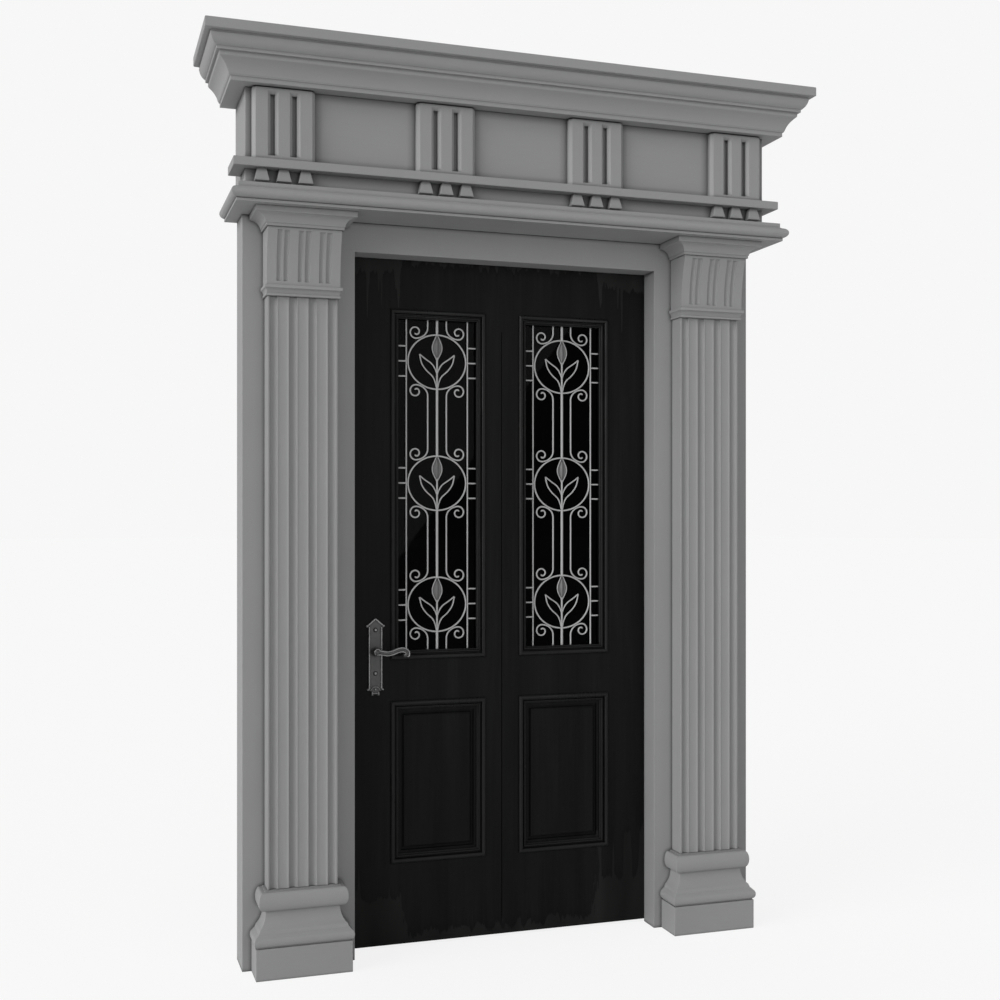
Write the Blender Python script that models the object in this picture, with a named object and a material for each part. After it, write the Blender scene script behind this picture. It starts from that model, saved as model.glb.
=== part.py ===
"""A classical door surround with the panelled door that hangs in it.

Fluted pilasters stand on the jambs of a rebated frame and carry an entablature: architrave
cap, frieze with triglyphs and guttae, taenia and cornice.  A timber leaf with two glazed and
two timber panels hangs in the rebate on its right edge and has iron grilles and a lever
handle.

Metres, +Z up.  The front faces -Y and X = 0 is the middle of the doorway.  The wall that
carries the surround starts at Y = 0.  The origin is in the middle of the back of the head,
where the surround is fixed.  Heights in this file are measured from the floor, and the
surround's root empty lowers everything to that origin.
"""
import math

import bmesh
import bpy
from mathutils import Vector

# Doorway and frame
OPENING_WIDTH = 0.972
OPENING_HEIGHT = 2.100
FRAME_DEPTH = 0.120
JAMB_WIDTH = 0.3305
HEAD_HEIGHT = 0.087
REBATE_LAP = 0.015
GAP = 0.0003

# Pilasters: widths are half widths, projections stand off the frame's face
PILASTER_INSET = 0.165
SHAFT_HALF = 0.1015
SHAFT_PROJECTION = 0.0605
PLINTH_HEIGHT = 0.091
PLINTH_OVERHANG = 0.0375
BASE_HEIGHT = 0.156
NECKING_HEIGHT = 0.030
CAPITAL_HEIGHT = 0.161
ABACUS_HEIGHT = 0.050
FLUTE_WIDTH = 0.022
FLUTE_DEPTH = 0.011
FLUTE_PITCH = 0.0565
FLUTE_COUNT = 4
CHANNEL_FILLET = 0.0035
CHANNEL_DEPTH = 0.0025
CAPITAL_LEAN_FOOT = 0.017
CAPITAL_LEAN_HEAD = 0.041
CAPITAL_GLYPH_PITCH = 0.061
CAPITAL_GLYPH_WIDTH = 0.015
CAPITAL_GLYPH_RIDGE = 0.005
CAPITAL_GLYPH_DEPTH = 0.007
CAPITAL_GLYPH_STOP = 0.008
CAPITAL_GLYPH_FOOT = 0.011

# Entablature
FRIEZE_OVERHANG = 0.004
FRIEZE_PROJECTION = 0.097
FRIEZE_HEIGHT = 0.2816
CAP_HEIGHT = 0.0564
CAP_SIDE_SETBACK = 0.0387
CORNICE_HEIGHT = 0.142
TAENIA_RISE = 0.0516
TAENIA_HEIGHT = 0.0245
TAENIA_PROJECTION = 0.0365
TAENIA_EDGE = 0.002
TRIGLYPH_COUNT = 4
TRIGLYPH_WIDTH = 0.178
TRIGLYPH_THICKNESS = 0.025
TRIGLYPH_END_MARGIN = 0.017
TRIGLYPH_CORNER = 0.007
TRIGLYPH_CHAMFER = 0.009
TRIGLYPH_TOP_CHAMFER = 0.005
GROOVE_WIDTH = 0.0295
GROOVE_SPACING = 0.062
GROOVE_DEPTH = 0.019
GROOVE_BEVEL = 0.0085
GROOVE_END_MARGIN = 0.011
GUTTA_SPACING = 0.062
GUTTA_HEIGHT = 0.040
GUTTA_TOP_HALF = 0.0130
GUTTA_FOOT_HALF = 0.0205
GUTTA_TOP_PROJECTION = 0.0225
GUTTA_FOOT_PROJECTION = 0.030

# Door leaf
LEAF_THICKNESS = 0.043
LEAF_CLEARANCE = 0.003
STOP_CLEARANCE = 0.001
FLOOR_CLEARANCE = 0.008
STILE_WIDTH = 0.149
MUNTIN_WIDTH = 0.130
TOP_RAIL_WIDTH = 0.173
BOTTOM_RAIL_WIDTH = 0.258
LOCK_RAIL_TOP = 0.888
LOCK_RAIL_WIDTH = 0.147
SEAM_WIDTH = 0.005
SEAM_DEPTH = 0.003
SEAM_FOOT = 0.041
SEAM_HEAD = 1.895
MOULDING_LAP = 0.010
MOULDING_REACH = 0.0167
MOULDING_RELIEF = 0.0075
GLASS_THICKNESS = 0.006
GLASS_RECESS = 0.023
BEAD_WIDTH = 0.015
PANEL_THICKNESS = 0.018
PANEL_RECESS = 0.0115
PANEL_MARGIN = 0.045
PANEL_FIELD = 0.0035
PANEL_SLOPE = 0.006

# Iron grilles: places are offsets from the middle of a pane or of a ring
GRILLE_RECESS = 0.018
RING_COUNT = 3
RING_TOP_DROP = 0.1286
RING_FOOT_RISE = 0.1386
RING_HALF_WIDTH = 0.0930
RING_HALF_HEIGHT = 0.0840
RING_SECTION = (0.0060, 0.0058)
SIDE_BAR_OFFSET = 0.0982
SIDE_BAR_SECTION = (0.0060, 0.0070)
CENTRE_BAR_SECTION = (0.0092, 0.0070)
STEM_SECTION = (0.0054, 0.0062)
SCROLL_BAR_OFFSET = 0.0300
SCROLL_SECTION = (0.0060, 0.0054)
SCROLL_CENTRE = (0.0680, 0.0900)
SCROLL_RADIUS = 0.0190
SCROLL_SWEEP = 0.034
SCROLL_EYE = 0.0050
SCROLL_TURN = 400.0
STUB_OFFSET = 0.0465
STUB_SECTION = (0.0054, 0.0052)
LEAF_BAR_SECTION = (0.0050, 0.0050)
LEAF_TIP = (0.0572, 0.0220)
BUD_TOP = 0.0825
BUD_FOOT = 0.0080
BUD_HALF_WIDTH = 0.0155
BUD_RIDGE = 0.0064
BUD_BACK = 0.0024

# Handle
SPINDLE_HEIGHT = 0.904
PLATE_BACKSET = 0.091
PLATE_HALF_WIDTH = 0.0215
PLATE_THICKNESS = 0.004
PLATE_UP = 0.0742
PLATE_DOWN = 0.1090
GABLE_RISE = 0.0286
EAVES_HALF_WIDTH = 0.0272
PENDANT_DROP = 0.0245
PENDANT_HALF_WIDTH = 0.0135
SPINDLE_RADIUS = 0.0045
SPINDLE_HOLE = 0.0056
NECK_RADIUS = 0.0095
LEVER_STANDOFF = 0.046
LEVER_RADIUS = 0.0067

# Hinges
BARREL_RADIUS = 0.0065
BARREL_LENGTH = 0.100
BARREL_STANDOFF = 0.0005
FLAP_THICKNESS = 0.0015
FLAP_DEPTH = 0.036
HINGE_INSET = 0.250

# Places that follow from the sizes above
OPENING_HALF = OPENING_WIDTH / 2
FACE = -FRAME_DEPTH
FRAME_TOP = OPENING_HEIGHT + HEAD_HEIGHT
FRAME_HALF = OPENING_HALF + JAMB_WIDTH
MOUNT_LEVEL = OPENING_HEIGHT + (REBATE_LAP + HEAD_HEIGHT) / 2
SHAFT_FRONT = FACE - SHAFT_PROJECTION
PILASTER_CENTRE = OPENING_HALF + PILASTER_INSET
SHAFT_FOOT = PLINTH_HEIGHT + BASE_HEIGHT
SHAFT_TOP = FRAME_TOP - ABACUS_HEIGHT - CAPITAL_HEIGHT - NECKING_HEIGHT
CAPITAL_FOOT = SHAFT_TOP + NECKING_HEIGHT
CAPITAL_TOP = CAPITAL_FOOT + CAPITAL_HEIGHT
FRIEZE_HALF = FRAME_HALF + FRIEZE_OVERHANG
FRIEZE_FRONT = FACE - FRIEZE_PROJECTION
FRIEZE_FOOT = FRAME_TOP + CAP_HEIGHT
FRIEZE_TOP = FRIEZE_FOOT + FRIEZE_HEIGHT
TAENIA_FOOT = FRIEZE_FOOT + TAENIA_RISE
TAENIA_TOP = TAENIA_FOOT + TAENIA_HEIGHT
REBATE_HALF = OPENING_HALF + REBATE_LAP
LEAF_HALF = REBATE_HALF - LEAF_CLEARANCE
LEAF_TOP = OPENING_HEIGHT + REBATE_LAP - LEAF_CLEARANCE
LEAF_FRONT = -LEAF_THICKNESS
PANE_OUTER = LEAF_HALF - STILE_WIDTH
PANE_INNER = MUNTIN_WIDTH / 2
PANE_CENTRE = (PANE_OUTER + PANE_INNER) / 2
PANE_HALF = (PANE_OUTER - PANE_INNER) / 2
GLAZED_TOP = LEAF_TOP - TOP_RAIL_WIDTH
LOCK_RAIL_FOOT = LOCK_RAIL_TOP - LOCK_RAIL_WIDTH
PANEL_FOOT = FLOOR_CLEARANCE + BOTTOM_RAIL_WIDTH
SIGHT_HALF = PANE_HALF - MOULDING_REACH
SIGHT_TOP = GLAZED_TOP - MOULDING_REACH
SIGHT_FOOT = LOCK_RAIL_TOP + MOULDING_REACH
RING_PITCH = (SIGHT_TOP - SIGHT_FOOT - RING_TOP_DROP - RING_FOOT_RISE) / (RING_COUNT - 1)
GLASS_FRONT = LEAF_FRONT + GLASS_RECESS
GRILLE_PLANE = LEAF_FRONT + GRILLE_RECESS
PLATE_CENTRE = -(LEAF_HALF - PLATE_BACKSET)
HINGE_X = LEAF_HALF + FLAP_THICKNESS
HINGE_Y = BARREL_RADIUS + BARREL_STANDOFF


def make_material(name, colour, roughness, metallic=0.0, transmission=0.0):
    """Returns a Principled material of one plain colour."""
    material = bpy.data.materials.new(name)
    material.use_nodes = True
    shader = material.node_tree.nodes["Principled BSDF"]
    shader.inputs["Base Color"].default_value = (*colour, 1.0)
    shader.inputs["Roughness"].default_value = roughness
    shader.inputs["Metallic"].default_value = metallic
    shader.inputs["Transmission Weight"].default_value = transmission
    return material


def make_empty(name, location, parent=None):
    """Returns an empty that pieces hang from."""
    empty = bpy.data.objects.new(name, None)
    bpy.context.collection.objects.link(empty)
    empty.parent = parent
    empty.location = location
    return empty


def add_solid(name, vertices, faces, material, pivot):
    """Makes one closed piece.  Its points are floor coordinates, whatever its pivot is."""
    mesh = bpy.data.meshes.new(name)
    mesh.from_pydata(vertices, [], faces)
    bm = bmesh.new()
    bm.from_mesh(mesh)
    bmesh.ops.recalc_face_normals(bm, faces=bm.faces)
    bm.to_mesh(mesh)
    bm.free()
    piece = bpy.data.objects.new(name, mesh)
    bpy.context.collection.objects.link(piece)
    if material is not None:
        piece.data.materials.append(material)
    piece.parent = pivot["empty"]
    piece.location = -Vector(pivot["place"])
    return piece


def loft(name, rings, material, pivot, closed=False):
    """Skins rings of equally many points; a closed loft joins its last ring to its first."""
    count = len(rings[0])
    vertices = [point for ring in rings for point in ring]
    faces = []
    spans = len(rings) if closed else len(rings) - 1
    for span in range(spans):
        near = span * count
        far = (span + 1) % len(rings) * count
        for corner in range(count):
            after = (corner + 1) % count
            faces.append((near + corner, near + after, far + after, far + corner))
    if not closed:
        faces.append(tuple(range(count)))
        faces.append(tuple(range(len(vertices) - count, len(vertices))))
    return add_solid(name, vertices, faces, material, pivot)


def box(name, x_range, y_range, z_range, material, pivot):
    """Makes a rectangular block between three pairs of coordinates."""
    rings = []
    for z in z_range:
        corners = [(x_range[0], y_range[0]), (x_range[1], y_range[0])]
        corners += [(x_range[1], y_range[1]), (x_range[0], y_range[1])]
        rings.append([(x, y, z) for x, y in corners])
    return loft(name, rings, material, pivot)


def extrude_plan(name, outline, z_range, material, pivot):
    """Extrudes a plan outline of (x, y) points between two heights."""
    rings = [[(x, y, z) for x, y in outline] for z in z_range]
    return loft(name, rings, material, pivot)


def extrude_section(name, outline, x_range, material, pivot):
    """Extrudes an upright section of (y, z) points along X."""
    rings = [[(x, y, z) for y, z in outline] for x in x_range]
    return loft(name, rings, material, pivot)


def moulded_block(name, centre, half_width, front, back, profile, material, pivot):
    """Stacks level rectangles whose sides and front stand out as the profile says.

    The profile is a list of (side overhang, front overhang, height), from the foot up.
    """
    rings = []
    for side, forward, height in profile:
        left = centre - half_width - side
        right = centre + half_width + side
        ahead = front - forward
        corners = [(left, back), (left, ahead), (right, ahead), (right, back)]
        rings.append([(x, y, height) for x, y in corners])
    return loft(name, rings, material, pivot)


def arc(centre, radii, start, end, steps):
    """Points of an elliptical arc in degrees, 0 pointing outwards and 90 upwards."""
    points = []
    for step in range(steps + 1):
        angle = math.radians(start + (end - start) * step / steps)
        points.append((centre[0] + radii[0] * math.cos(angle), centre[1] + radii[1] * math.sin(angle)))
    return points


def bend(start, pull, end, steps):
    """Points of the curve that leaves start and reaches end, drawn towards pull."""
    points = []
    for step in range(steps + 1):
        t = step / steps
        a = (1 - t) * (1 - t)
        b = 2 * t * (1 - t)
        c = t * t
        points.append(tuple(a * s + b * p + c * e for s, p, e in zip(start, pull, end)))
    return points


def even_overhang(profile, foot):
    """Turns (overhang, rise) points into (side, front, height) for moulded_block."""
    return [(overhang, overhang, foot + rise) for overhang, rise in profile]


def cutter(piece):
    """Marks a piece as a shape that only cuts others."""
    piece.hide_render = True
    piece.display_type = "WIRE"
    return piece


def boolean(piece, other, operation, self_overlap=False):
    """Adds an exact Boolean modifier between a piece and a cutter."""
    modifier = piece.modifiers.new(operation.title(), "BOOLEAN")
    modifier.operation = operation
    modifier.object = cutter(other)
    modifier.solver = "EXACT"
    modifier.use_self = self_overlap


def build_frame(paint, root):
    """Makes the two jambs and the head, rebated at the back for the leaf."""
    stop = LEAF_FRONT - STOP_CLEARANCE
    for side, name in ((-1, "jamb_left"), (1, "jamb_right")):
        outline = [(side * OPENING_HALF, FACE), (side * FRAME_HALF, FACE), (side * FRAME_HALF, 0.0)]
        outline += [(side * REBATE_HALF, 0.0), (side * REBATE_HALF, stop), (side * OPENING_HALF, stop)]
        extrude_plan(name, outline, (0.0, FRAME_TOP - GAP), paint, root)
    rebate_top = OPENING_HEIGHT + REBATE_LAP
    section = [(FACE, OPENING_HEIGHT), (FACE, FRAME_TOP - GAP), (0.0, FRAME_TOP - GAP), (0.0, rebate_top)]
    section += [(stop, rebate_top), (stop, OPENING_HEIGHT)]
    reach = OPENING_HALF - GAP
    extrude_section("head", section, (-reach, reach), paint, root)


def shaft_outline(centre):
    """Plan of a shaft: deep flutes with shallow hollowed bands between them."""
    def hollow(middle, width, depth, steps):
        points = []
        for step in range(steps + 1):
            angle = math.pi * step / steps
            x = middle - width / 2 * math.cos(angle)
            points.append((x, SHAFT_FRONT + depth * math.sin(angle)))
        return points

    back = FACE - GAP
    band_width = FLUTE_PITCH - FLUTE_WIDTH - 2 * CHANNEL_FILLET
    first = centre - FLUTE_PITCH * (FLUTE_COUNT - 1) / 2
    outline = [(centre - SHAFT_HALF, back), (centre - SHAFT_HALF, SHAFT_FRONT)]
    for flute in range(FLUTE_COUNT):
        middle = first + flute * FLUTE_PITCH
        outline += hollow(middle, FLUTE_WIDTH, FLUTE_DEPTH, 6)
        if flute < FLUTE_COUNT - 1:
            outline += hollow(middle + FLUTE_PITCH / 2, band_width, CHANNEL_DEPTH, 4)
    outline += [(centre + SHAFT_HALF, SHAFT_FRONT), (centre + SHAFT_HALF, back)]
    return outline


def capital_ring(centre, height, lean, depth):
    """One level of the capital block, its channels cut to the given depth."""
    front = SHAFT_FRONT - lean
    half = SHAFT_HALF + 0.0045
    back = FACE - GAP
    ring = [(centre - half, back, height), (centre - half, front, height)]
    for pair in (-1, 0, 1):
        for half_pair in (-1, 1):
            middle = centre + pair * CAPITAL_GLYPH_PITCH
            middle += half_pair * (CAPITAL_GLYPH_RIDGE + CAPITAL_GLYPH_WIDTH) / 2
            for step in range(4):
                angle = math.pi * step / 3
                x = middle - CAPITAL_GLYPH_WIDTH / 2 * math.cos(angle)
                ring.append((x, front + depth * math.sin(angle), height))
    ring += [(centre + half, front, height), (centre + half, back, height)]
    return ring


def build_capital_block(name, centre, paint, root):
    """Makes the block whose channelled face curves forward as it rises."""
    start = CAPITAL_FOOT + CAPITAL_GLYPH_FOOT
    stop = CAPITAL_TOP - CAPITAL_GLYPH_STOP
    shallow = CAPITAL_GLYPH_DEPTH / 20
    rings = [capital_ring(centre, CAPITAL_FOOT + GAP, CAPITAL_LEAN_FOOT, shallow)]
    rings.append(capital_ring(centre, start - GAP, CAPITAL_LEAN_FOOT, shallow))
    levels = 4
    for level in range(levels + 1):
        share = level / levels
        height = start + (stop - start) * share
        lean = CAPITAL_LEAN_FOOT + (CAPITAL_LEAN_HEAD - CAPITAL_LEAN_FOOT) * share ** 2
        rings.append(capital_ring(centre, height, lean, CAPITAL_GLYPH_DEPTH))
    rings.append(capital_ring(centre, stop + GAP, CAPITAL_LEAN_HEAD, shallow))
    rings.append(capital_ring(centre, CAPITAL_TOP - GAP, CAPITAL_LEAN_HEAD, shallow))
    loft(name, rings, paint, root)


def build_pilaster(side, tag, paint, root):
    """Stacks plinth, base, shaft, necking, capital block and abacus on one jamb."""
    centre = side * PILASTER_CENTRE
    back = FACE - GAP

    def stack(part, profile):
        moulded_block(f"{part}_{tag}", centre, SHAFT_HALF, SHAFT_FRONT, back, profile, paint, root)

    plinth = [(PLINTH_OVERHANG, 0.0), (PLINTH_OVERHANG, PLINTH_HEIGHT - GAP)]
    stack("plinth", even_overhang(plinth, 0.0))

    base = [(0.0340, GAP), (0.0340, 0.003)]
    base += arc((0.0340, 0.0175), (0.0085, 0.0140), -80, 70, 5)
    base += [(0.0290, 0.038)]
    base += bend((0.0270, 0.046), (0.0070, 0.062), (0.0060, 0.094), 6)[1:]
    base += [(0.0070, 0.0965)]
    base += arc((0.0150, 0.1250), (0.0125, 0.0275), -85, 75, 6)
    base += [(0.0080, BASE_HEIGHT - 0.004), (0.0080, BASE_HEIGHT - GAP)]
    stack("base", even_overhang(base, PLINTH_HEIGHT))

    extrude_plan(f"shaft_{tag}", shaft_outline(centre), (SHAFT_FOOT + GAP, SHAFT_TOP - GAP), paint, root)

    foot = SHAFT_TOP
    necking = [(0.0060, 0.0140, foot + GAP), (0.0060, 0.0140, foot + 0.006)]
    necking += bend((0.0040, 0.0120, foot + 0.007), (0.0045, 0.0130, foot + 0.017),
                    (0.0095, 0.0215, foot + 0.020), 4)
    necking += [(0.0110, 0.0240, foot + 0.021), (0.0110, 0.0240, foot + NECKING_HEIGHT - GAP)]
    stack("necking", necking)

    build_capital_block(f"capital_{tag}", centre, paint, root)

    shape = [(0.21, 1.00, 0.16)]
    shape += bend((0.25, 1.04, 0.17), (0.30, 1.12, 0.56), (0.78, 1.49, 0.66), 5)
    shape += [(0.86, 1.57, 0.68)]
    abacus = [(aside * ABACUS_HEIGHT, ahead * ABACUS_HEIGHT, CAPITAL_TOP + rise * ABACUS_HEIGHT)
              for aside, ahead, rise in shape]
    abacus = [(*abacus[0][:2], CAPITAL_TOP + GAP)] + abacus
    abacus += [(*abacus[-1][:2], FRAME_TOP - GAP)]
    stack("abacus", abacus)


def build_entablature(paint, root):
    """Makes the cap, frieze, taenia, triglyphs, guttae and cornice."""
    cap = [(0.0720, GAP), (0.0720, 0.0080), (0.0690, 0.0085)]
    cap += arc((0.0690, 0.0245), (0.0175, 0.0155), -80, 80, 8)
    cap += [(0.0660, 0.0432), (0.0660, CAP_HEIGHT - GAP)]
    profile = [(out - CAP_SIDE_SETBACK, out, FRAME_TOP + rise) for out, rise in cap]
    moulded_block("architrave_cap", 0.0, FRIEZE_HALF, FRIEZE_FRONT, 0.0, profile, paint, root)

    box("frieze", (-FRIEZE_HALF, FRIEZE_HALF), (FRIEZE_FRONT, 0.0),
        (FRIEZE_FOOT + GAP, FRIEZE_TOP - GAP), paint, root)

    build_taenia(paint, root)

    reach = FRIEZE_HALF - TRIGLYPH_END_MARGIN - TRIGLYPH_WIDTH / 2
    for index in range(TRIGLYPH_COUNT):
        centre = reach * (2 * index / (TRIGLYPH_COUNT - 1) - 1)
        build_triglyph(f"triglyph_{index + 1}", centre, paint, root)
        for place in range(3):
            middle = centre + (place - 1) * GUTTA_SPACING
            build_gutta(f"gutta_{index * 3 + place + 1:02d}", middle, paint, root)

    cornice = [(0.0465, GAP), (0.0465, 0.0115), (0.0500, 0.0135), (0.0505, 0.0155)]
    cornice += bend((0.0520, 0.0170), (0.0580, 0.0400), (0.0790, 0.0560), 7)
    cornice += [(0.0805, 0.0590), (0.0805, 0.0685), (0.0885, 0.0690), (0.0885, 0.0770)]
    cornice += bend((0.0900, 0.0775), (0.1035, 0.0860), (0.1070, 0.1070), 6)
    cornice += [(0.1060, 0.1090), (0.1060, 0.1130), (0.1205, 0.1135), (0.1230, 0.1150)]
    cornice += [(0.1230, CORNICE_HEIGHT - 0.002)]
    cornice += [(0.1210, CORNICE_HEIGHT)]
    profile = even_overhang(cornice, FRIEZE_TOP)
    moulded_block("cornice", 0.0, FRIEZE_HALF, FRIEZE_FRONT, 0.0, profile, paint, root)


def build_taenia(paint, root):
    """Makes the band that runs round the front and both sides of the frieze."""
    inner = GAP
    outer = TAENIA_PROJECTION
    edge = TAENIA_EDGE
    foot = TAENIA_FOOT
    top = TAENIA_TOP
    section = [(inner, foot), (outer - edge, foot), (outer, foot + edge), (outer, top - edge)]
    section += [(outer - edge, top), (inner, top)]
    rings = []
    rings.append([(-FRIEZE_HALF - out, FACE, z) for out, z in section])
    rings.append([(-FRIEZE_HALF - out, FRIEZE_FRONT - out, z) for out, z in section])
    rings.append([(FRIEZE_HALF + out, FRIEZE_FRONT - out, z) for out, z in section])
    rings.append([(FRIEZE_HALF + out, FACE, z) for out, z in section])
    loft("taenia", rings, paint, root)


def triglyph_ring(centre, y, inset, foot, top):
    """Outline of a triglyph plate at one depth, its two upper corners rounded."""
    half = TRIGLYPH_WIDTH / 2 - inset
    radius = TRIGLYPH_CORNER
    spring = top - radius
    right = arc((centre + half - radius, spring), (radius, radius), 0, 90, 3)
    left = arc((centre - half + radius, spring), (radius, radius), 90, 180, 3)
    outline = [(centre - half, foot), (centre + half, foot)] + right + left
    return [(x, y, z) for x, z in outline]


def build_triglyph(name, centre, paint, root):
    """Makes a plate with soft edges and two upright grooves."""
    foot = TAENIA_TOP + GAP
    top = FRIEZE_TOP - GAP
    back = FRIEZE_FRONT - GAP
    front = FRIEZE_FRONT - TRIGLYPH_THICKNESS
    rings = [triglyph_ring(centre, back, 0.0, foot, top)]
    rings.append(triglyph_ring(centre, front + TRIGLYPH_CHAMFER, 0.0, foot, top))
    rings.append(triglyph_ring(centre, front, TRIGLYPH_CHAMFER, foot, top - TRIGLYPH_TOP_CHAMFER))
    plate = loft(name, rings, paint, root)
    for side in (-1, 1):
        middle = centre + side * GROOVE_SPACING / 2
        half = GROOVE_WIDTH / 2
        low = foot + GROOVE_END_MARGIN
        high = top - GROOVE_END_MARGIN
        steps = [(front + GROOVE_DEPTH, GROOVE_BEVEL), (front + GROOVE_BEVEL, GROOVE_BEVEL)]
        steps += [(front, 0.0), (front - GROOVE_BEVEL, 0.0)]
        rings = []
        for y, inset in steps:
            x = half - inset
            corners = [(middle - x, low), (middle + x, low), (middle + x, high - inset)]
            corners += [(middle - x, high - inset)]
            rings.append([(a, y, b) for a, b in corners])
        tool = loft(f"{name}_groove_{side}", rings, None, root)
        boolean(plate, tool, "DIFFERENCE")


def build_gutta(name, middle, paint, root):
    """Makes one drop that widens downwards under the taenia."""
    foot = TAENIA_FOOT - GUTTA_HEIGHT
    profile = [(0.0, GUTTA_FOOT_PROJECTION, foot), (0.0, GUTTA_FOOT_PROJECTION, foot + 0.002)]
    narrowing = GUTTA_TOP_HALF - GUTTA_FOOT_HALF
    profile += [(narrowing, GUTTA_TOP_PROJECTION, TAENIA_FOOT - GAP)]
    back = FRIEZE_FRONT - GAP
    moulded_block(name, middle, GUTTA_FOOT_HALF, FRIEZE_FRONT, back, profile, paint, root)


def seam_cutter(name, pivot):
    """V-shaped seam down the middle of the leaf's face, stopped short of both ends."""
    half = SEAM_WIDTH / 2
    low = FLOOR_CLEARANCE + SEAM_FOOT
    point = 0.02
    ahead = LEAF_FRONT - GAP / 2
    rings = []
    for z, size in ((low, point), (low + SEAM_WIDTH, 1.0), (SEAM_HEAD - SEAM_WIDTH, 1.0), (SEAM_HEAD, point)):
        outline = [(-half * size, ahead), (half * size, ahead)]
        outline += [(0.0, LEAF_FRONT + SEAM_DEPTH * size)]
        rings.append([(x, y, z) for x, y in outline])
    return loft(name, rings, None, pivot)


def build_leaf_frame(timber, leaf):
    """Makes the stiles, rails and muntins of the leaf."""
    depth = (LEAF_FRONT, 0.0)
    inner = LEAF_HALF - STILE_WIDTH
    spindle_hole = tube_between("spindle_hole_cutter", (PLATE_CENTRE, SPINDLE_HEIGHT), SPINDLE_HOLE,
                                (LEAF_FRONT - STOP_CLEARANCE, STOP_CLEARANCE), None, leaf)
    stile = box("stile_left", (-LEAF_HALF, -inner), depth, (FLOOR_CLEARANCE, LEAF_TOP), timber, leaf)
    boolean(stile, spindle_hole, "DIFFERENCE")
    box("stile_right", (inner, LEAF_HALF), depth, (FLOOR_CLEARANCE, LEAF_TOP), timber, leaf)

    across = (-inner + GAP, inner - GAP)
    box("rail_top", across, depth, (GLAZED_TOP, LEAF_TOP), timber, leaf)
    seam = seam_cutter("seam_cutter", leaf)
    rail = box("rail_lock", across, depth, (LOCK_RAIL_FOOT, LOCK_RAIL_TOP), timber, leaf)
    boolean(rail, seam, "DIFFERENCE")
    rail = box("rail_bottom", across, depth, (FLOOR_CLEARANCE, PANEL_FOOT), timber, leaf)
    boolean(rail, seam, "DIFFERENCE")

    middle = (-PANE_INNER, PANE_INNER)
    muntin = box("muntin_upper", middle, depth, (LOCK_RAIL_TOP + GAP, GLAZED_TOP - GAP), timber, leaf)
    boolean(muntin, seam, "DIFFERENCE")
    muntin = box("muntin_lower", middle, depth, (PANEL_FOOT + GAP, LOCK_RAIL_FOOT - GAP), timber, leaf)
    boolean(muntin, seam, "DIFFERENCE")


def mitred_frame(name, centre, half_width, z_range, profile, material, pivot):
    """Runs a profile round a rectangle with mitred corners.

    The profile is a closed list of (distance in from the rectangle, y).
    """
    low, high = z_range
    rings = []
    for side, level, sense in ((-1, low, 1), (1, low, 1), (1, high, -1), (-1, high, -1)):
        ring = []
        for inward, y in profile:
            ring.append((centre + side * (half_width - inward), y, level + sense * inward))
        rings.append(ring)
    return loft(name, rings, material, pivot, closed=True)


def build_panes(timber, glass, leaf):
    """Fills the four openings: glass or a fielded panel, with its mouldings."""
    relief = LEAF_FRONT - MOULDING_RELIEF
    sight = LEAF_FRONT + 0.004
    seat = {"glazed": GLASS_FRONT - GAP, "panel": LEAF_FRONT + PANEL_RECESS - GAP}
    levels = {"glazed": (LOCK_RAIL_TOP, GLAZED_TOP), "panel": (PANEL_FOOT, LOCK_RAIL_FOOT)}
    for side, tag in ((-1, "left"), (1, "right")):
        centre = side * PANE_CENTRE
        for kind, z_range in levels.items():
            back = seat[kind]
            profile = [(-MOULDING_LAP, LEAF_FRONT - GAP), (-MOULDING_LAP, LEAF_FRONT - 0.003)]
            profile += bend((-0.009, LEAF_FRONT - 0.0045), (-0.004, relief - 0.0035),
                            (0.0025, LEAF_FRONT - 0.0050), 4)
            profile += [(0.0035, sight - 0.003), (0.0035, sight), (0.0075, sight)]
            profile += [(0.0080, sight - 0.0015), (0.0110, sight - 0.0015), (0.0115, sight + 0.001)]
            profile += [(0.0150, sight + 0.0025), (MOULDING_REACH, sight + 0.0040), (MOULDING_REACH, back)]
            profile += [(GAP, back), (GAP, LEAF_FRONT - GAP)]
            mitred_frame(f"moulding_{kind}_{tag}", centre, PANE_HALF, z_range, profile, timber, leaf)

        low, high = levels["glazed"]
        pane = PANE_HALF - GAP
        box(f"glass_{tag}", (centre - pane, centre + pane), (GLASS_FRONT, GLASS_FRONT + GLASS_THICKNESS),
            (low + GAP, high - GAP), glass, leaf)
        front = GLASS_FRONT + GLASS_THICKNESS + GAP
        bead = [(GAP, front), (BEAD_WIDTH, front), (BEAD_WIDTH, front + 0.004)]
        bead += [(0.004, -0.002), (GAP, -0.002)]
        mitred_frame(f"bead_{tag}", centre, PANE_HALF, (low, high), bead, timber, leaf)
        build_panel(f"panel_{tag}", centre, levels["panel"], timber, leaf)


def build_panel(name, centre, z_range, timber, leaf):
    """Makes a timber panel whose middle field stands a little forward."""
    low, high = z_range
    front = LEAF_FRONT + PANEL_RECESS
    steps = [(GAP, front + PANEL_THICKNESS), (GAP, front), (PANEL_MARGIN, front)]
    steps += [(PANEL_MARGIN + PANEL_SLOPE, front - PANEL_FIELD)]
    rings = []
    for inset, y in steps:
        half = PANE_HALF - inset
        corners = [(centre - half, low + inset), (centre + half, low + inset)]
        corners += [(centre + half, high - inset), (centre - half, high - inset)]
        rings.append([(x, y, z) for x, z in corners])
    loft(name, rings, timber, leaf)


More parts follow.
